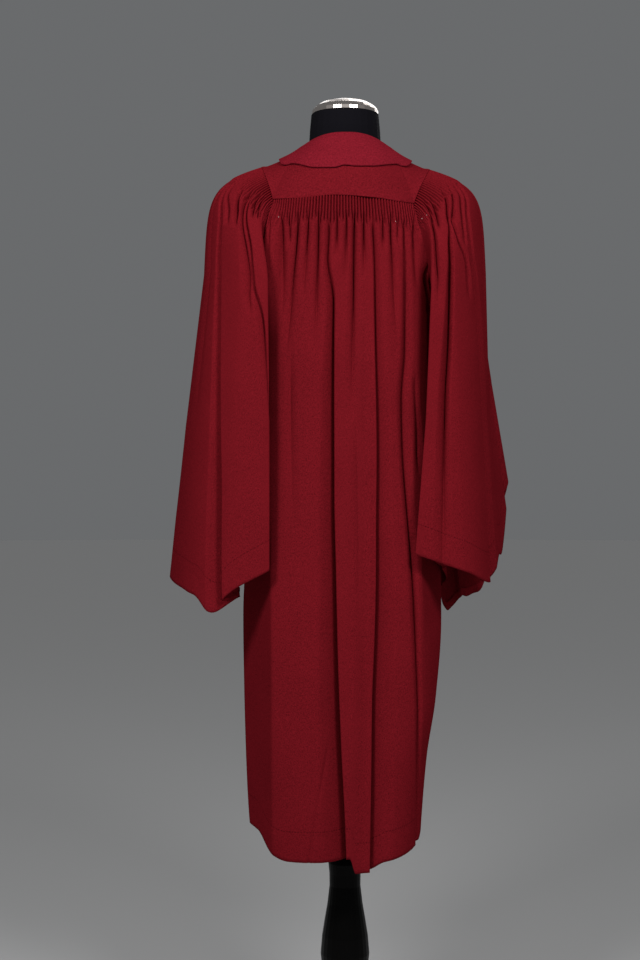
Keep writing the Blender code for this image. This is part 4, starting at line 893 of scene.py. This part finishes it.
# materials
class Nodes:
    """Builds a node tree in few words."""

    def __init__(self, name):
        self.material = bpy.data.materials.new(name)
        self.material.use_nodes = True
        self.tree = self.material.node_tree
        self.shader = self.tree.nodes["Principled BSDF"]

    def add(self, kind, **values):
        node = self.tree.nodes.new(kind)
        for key, value in values.items():
            if key in node.inputs:
                node.inputs[key].default_value = value
            else:
                setattr(node, key, value)
        return node

    def link(self, output, target):
        self.tree.links.new(output, target)

    def math(self, operation, a, b=None):
        node = self.add("ShaderNodeMath", operation=operation)
        for k, value in enumerate((a, b)):
            if value is None:
                continue
            if isinstance(value, (int, float)):
                node.inputs[k].default_value = value
            else:
                self.link(value, node.inputs[k])
        return node.outputs[0]

    def noise(self, vector, scale, detail=2.0):
        node = self.add("ShaderNodeTexNoise", Scale=scale, Detail=detail)
        self.link(vector, node.inputs["Vector"])
        return node.outputs["Fac"]

    def stretched(self, vector, factors):
        node = self.add("ShaderNodeVectorMath", operation="MULTIPLY")
        self.link(vector, node.inputs[0])
        node.inputs[1].default_value = factors
        return node.outputs[0]


# The weave: scales of its noises, per metre, and how they are mixed.
FINE_SCALE = 520.0
THREAD_SCALES = (900.0, 260.0, 0.0)
BROAD_SCALE = 7.0
FINE_PART = 0.65
THREAD_PART = 0.35
BROAD_TONE = 0.20
CLOTH_GRAIN = 2.6  # how strongly the weave varies in tone
# The stitch line of the hem: half its width, stitches per metre, the part of each that shows,
# how much painted shade darkens it, and how deep against the weave.
STITCH_HALF_WIDTH = 0.0009
STITCHES_PER_METRE = 190.0
STITCH_PART = 0.62
STITCH_PAINTED_SHADE = 0.35
STITCH_DEPTH = 1.2
# Ends of basting thread left in the cloth: x and height, in millimetres.
BASTING_ENDS = ((-109, 1452), (80, 1443), (123, 1449), (130, 1454))
BASTING_RADIUS = 0.0005
BASTING_COLOUR = (0.75, 0.62, 0.58, 1.0)


def stitch_mask(n, place):
    """1 on the stitches of the hem's line, and 0 elsewhere."""
    parts = n.add("ShaderNodeSeparateXYZ")
    n.link(place, parts.inputs[0])
    away = n.math("ABSOLUTE", n.math("SUBTRACT", parts.outputs["Z"], HEM_STITCH_HEIGHT))
    line = n.math("LESS_THAN", away, STITCH_HALF_WIDTH)
    pace = n.math("FRACT", n.math("MULTIPLY", parts.outputs["X"], STITCHES_PER_METRE))
    return n.math("MULTIPLY", line, n.math("LESS_THAN", pace, STITCH_PART))


def basting_mask(n):
    """1 on the thread ends, and 0 elsewhere."""
    spot = n.add("ShaderNodeTexCoord").outputs["Object"]
    flat = n.stretched(spot, (1.0, 0.0, 1.0))
    ends = None
    for x, z in BASTING_ENDS:
        away = n.add("ShaderNodeVectorMath", operation="DISTANCE")
        n.link(flat, away.inputs[0])
        away.inputs[1].default_value = (x / 1000, 0.0, z / 1000)
        one = n.math("LESS_THAN", away.outputs["Value"], BASTING_RADIUS)
        ends = one if ends is None else n.math("ADD", ends, one)
    return ends


def cloth(name, colour, sewn):
    """The gown's matt cloth; sewn adds the hem's stitches and the thread ends."""
    n = Nodes(name)
    place = n.add("ShaderNodeAttribute", attribute_name="cloth_place").outputs["Vector"]
    fine = n.noise(place, FINE_SCALE, 3.0)
    threads = n.noise(n.stretched(place, THREAD_SCALES), 1.0, 2.0)
    broad = n.noise(place, BROAD_SCALE, 2.0)
    grain = n.math("ADD", n.math("MULTIPLY", fine, FINE_PART), n.math("MULTIPLY", threads, THREAD_PART))
    shade = n.math("ADD", n.math("MULTIPLY", n.math("SUBTRACT", grain, 0.5), CLOTH_GRAIN),
                   n.math("MULTIPLY", n.math("SUBTRACT", broad, 0.5), BROAD_TONE))
    value = n.math("ADD", shade, 1.0)
    height = grain
    if sewn:
        stitch = stitch_mask(n, place)
        # Painted shade: the stitches are darkened as if their dents were shadowed; the dents themselves are
        # the real bump below.
        value = n.math("MULTIPLY", value, n.math("SUBTRACT", 1.0, n.math("MULTIPLY", stitch, STITCH_PAINTED_SHADE)))
        height = n.math("SUBTRACT", height, n.math("MULTIPLY", stitch, STITCH_DEPTH))
    hue = n.add("ShaderNodeHueSaturation", Color=(*colour, 1.0))
    n.link(value, hue.inputs["Value"])
    colour_out = hue.outputs["Color"]
    if sewn:
        pale = n.add("ShaderNodeMix", data_type="RGBA")
        n.link(basting_mask(n), pale.inputs[0])
        n.link(colour_out, pale.inputs[6])
        pale.inputs[7].default_value = BASTING_COLOUR
        colour_out = pale.outputs[2]
    n.link(colour_out, n.shader.inputs["Base Color"])
    bump = n.add("ShaderNodeBump", Strength=0.35, Distance=0.0005)
    n.link(height, bump.inputs["Height"])
    n.link(bump.outputs["Normal"], n.shader.inputs["Normal"])
    n.shader.inputs["Roughness"].default_value = 0.85
    n.shader.inputs["Specular IOR Level"].default_value = 0.0
    return n.material


def plain(name, colour, roughness, metallic, scale, strength, stretch=(1.0, 1.0, 1.0), spread=0.25,
          specular=0.5):
    """A look with a fine grain; stretch and scale shape the grain, spread and strength are its force."""
    n = Nodes(name)
    place = n.add("ShaderNodeTexCoord").outputs["Object"]
    grain = n.noise(n.stretched(place, stretch), scale, 3.0)
    value = n.math("ADD", n.math("MULTIPLY", n.math("SUBTRACT", grain, 0.5), spread), 1.0)
    hue = n.add("ShaderNodeHueSaturation", Color=(*colour, 1.0))
    n.link(value, hue.inputs["Value"])
    n.link(hue.outputs["Color"], n.shader.inputs["Base Color"])
    bump = n.add("ShaderNodeBump", Strength=strength, Distance=0.0004)
    n.link(grain, bump.inputs["Height"])
    n.link(bump.outputs["Normal"], n.shader.inputs["Normal"])
    n.shader.inputs["Roughness"].default_value = roughness
    n.shader.inputs["Metallic"].default_value = metallic
    n.shader.inputs["Specular IOR Level"].default_value = specular
    return n.material


GOWN = cloth("gown_cloth_look", (0.158, 0.0072, 0.0118), True)
YOKE_LOOK = cloth("yoke_cloth_look", (0.152, 0.0072, 0.0120), False)
# The collar's lighter, pinker colour is painted sheen: the gown's cloth drawn brighter where it would
# shine.
COLLAR_PAINTED_SHEEN_LOOK = cloth("collar_cloth_painted_sheen_look", (0.182, 0.0092, 0.0175), False)
FORM_LOOKS = {
    "form_body": plain("jersey_look", (0.0042, 0.0038, 0.0058), 0.90, 0.0, 900.0, 0.5, specular=0.08),
    "neck_cap": plain("cap_look", (0.74, 0.66, 0.61), 0.24, 1.0, 300.0, 0.02, (1, 1, 6), 0.05),
    "pole": plain("pole_look", (0.0016, 0.0015, 0.0014), 0.30, 0.0, 60.0, 0.08, (4, 4, 1), 0.4, 0.06),
    "base": plain("base_look", (0.0030, 0.0028, 0.0026), 0.30, 0.0, 60.0, 0.08, (4, 4, 1), 0.4, 0.30),
}


# the pieces
def cloth_piece(name, node, grid, look, closed=False, flip=False, turned=0):
    item = shell(name, grid, closed, flip, turned)
    item.data.materials.append(look)
    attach(item, "root")
    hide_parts(node)
    return item


cloth_piece("back_panel_cloth", "back_panel", back_panel_grid(), GOWN,
            turned=2)
for side, word in ((-1, "left"), (1, "right")):
    cloth_piece(f"sleeve_{word}_cloth", f"sleeve_{word}", sleeve_grid(side), GOWN,
                closed=True, flip=side > 0, turned=2)
    cloth_piece(f"front_{word}_cloth", f"front_{word}", front_grid(side), GOWN,
                flip=side > 0, turned=2)


# The yoke's lift over the flutes and its crease, in shares of the way from the neck to its edge.
YOKE_LIFT_START = 0.86
YOKE_LIFT_SPAN = 0.12
YOKE_CREASE_WIDTH = 0.004  # a share of the way round the yoke
YOKE_CREASE_START = 0.5  # from the neck to here the crease grows to its full depth
YOKE_EDGE_TURN = 0.0012


def yoke_shell():
    """The yoke, raised over the flutes along its edge, with the edge turned in."""
    reaches = np.concatenate((np.linspace(0, 0.9, 56), np.linspace(0.9, 1.0, 16)[1:]))
    places = np.linspace(0, 1, 361)
    grid = yoke_grid(places, reaches)
    normals = grid_normals(grid, False)
    normals = normals * np.where(normals[..., 2:] < 0, -1, 1)
    lift = YOKE_LIFT * ease((reaches - YOKE_LIFT_START) / YOKE_LIFT_SPAN)[:, None]
    across = np.abs(places - YOKE_CREASE_PLACE) / YOKE_CREASE_WIDTH
    crease = YOKE_CREASE_DEPTH * np.exp(-across ** 1.4)[None] * ease(reaches / YOKE_CREASE_START)[:, None]
    grid = grid + normals * (lift - crease)[..., None]
    edge = grid[-1] - normals[-1] * (YOKE_LIFT + YOKE_EDGE_TURN)
    return np.concatenate((grid, edge[None]))


cloth_piece("yoke_cloth", "yoke", yoke_shell(), YOKE_LOOK)
cloth_piece("collar_cloth", "collar", collar_grid(), COLLAR_PAINTED_SHEEN_LOOK)

for node, look in FORM_LOOKS.items():
    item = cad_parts[node]
    item.data.materials.clear()
    item.data.materials.append(look)

# floor, light and camera
CAMERA_PLACE = (-0.042, -2.800, 1.026)
CAMERA_LENS = 62.5
CAMERA_SENSOR = 36
FLOOR_RADIUS = 26.0
FLOOR_COLOUR = (0.46, 0.46, 0.46, 1)
WORLD_COLOUR = (0.142, 0.146, 0.150, 1)
# The two lamps over the camera: name, place and power.
LAMPS = (
    ("key_left", (-1.2, -2.3, 2.75), 51),
    ("key_right", (1.0, -2.3, 2.65), 43),
)
LAMP_TARGET = (0, 0, 1.25)
LAMP_SIZE = 0.7
# A broad light on the open front of the gown, for the views from that side.
SUN_DIRECTION = (-0.35, -1.0, -0.55)
SUN_ENERGY = 1.25
SUN_ANGLE = math.radians(50)


def linked(name, data, place, direction):
    """An object with this data, put in the scene and turned to face a direction."""
    item = bpy.data.objects.new(name, data)
    bpy.context.scene.collection.objects.link(item)
    item.location = place
    item.rotation_euler = Vector(direction).to_track_quat("-Z", "Y").to_euler()
    return item


def floor_disc():
    bpy.ops.mesh.primitive_circle_add(vertices=96, radius=FLOOR_RADIUS, fill_type="NGON")
    item = bpy.context.object
    item.name = "floor"
    return item


floor_look = Nodes("floor_look")
floor_look.shader.inputs["Base Color"].default_value = FLOOR_COLOUR
floor_look.shader.inputs["Roughness"].default_value = 1.0
floor_look.shader.inputs["Specular IOR Level"].default_value = 0.0
floor_disc().data.materials.append(floor_look.material)

world = bpy.data.worlds.new("studio")
bpy.context.scene.world = world
world.use_nodes = True
world.node_tree.nodes["Background"].inputs["Color"].default_value = WORLD_COLOUR
world.node_tree.nodes["Background"].inputs["Strength"].default_value = 1.0

for name, place, power in LAMPS:
    lamp = bpy.data.lights.new(name, "AREA")
    lamp.shape = "DISK"
    lamp.size = LAMP_SIZE
    lamp.energy = power
    linked(name, lamp, place, Vector(LAMP_TARGET) - Vector(place))

sun = bpy.data.lights.new("front_light", "SUN")
sun.energy = SUN_ENERGY
sun.angle = SUN_ANGLE
linked("front_light", sun, (0, 0, 0), SUN_DIRECTION)

camera = bpy.data.objects.new("camera", bpy.data.cameras.new("camera"))
bpy.context.scene.collection.objects.link(camera)
camera.location = CAMERA_PLACE
camera.rotation_euler = (math.pi / 2, 0, 0)
camera.data.lens = CAMERA_LENS
camera.data.sensor_width = CAMERA_SENSOR
bpy.context.scene.camera = camera
bpy.context.scene.view_settings.view_transform = "Standard"
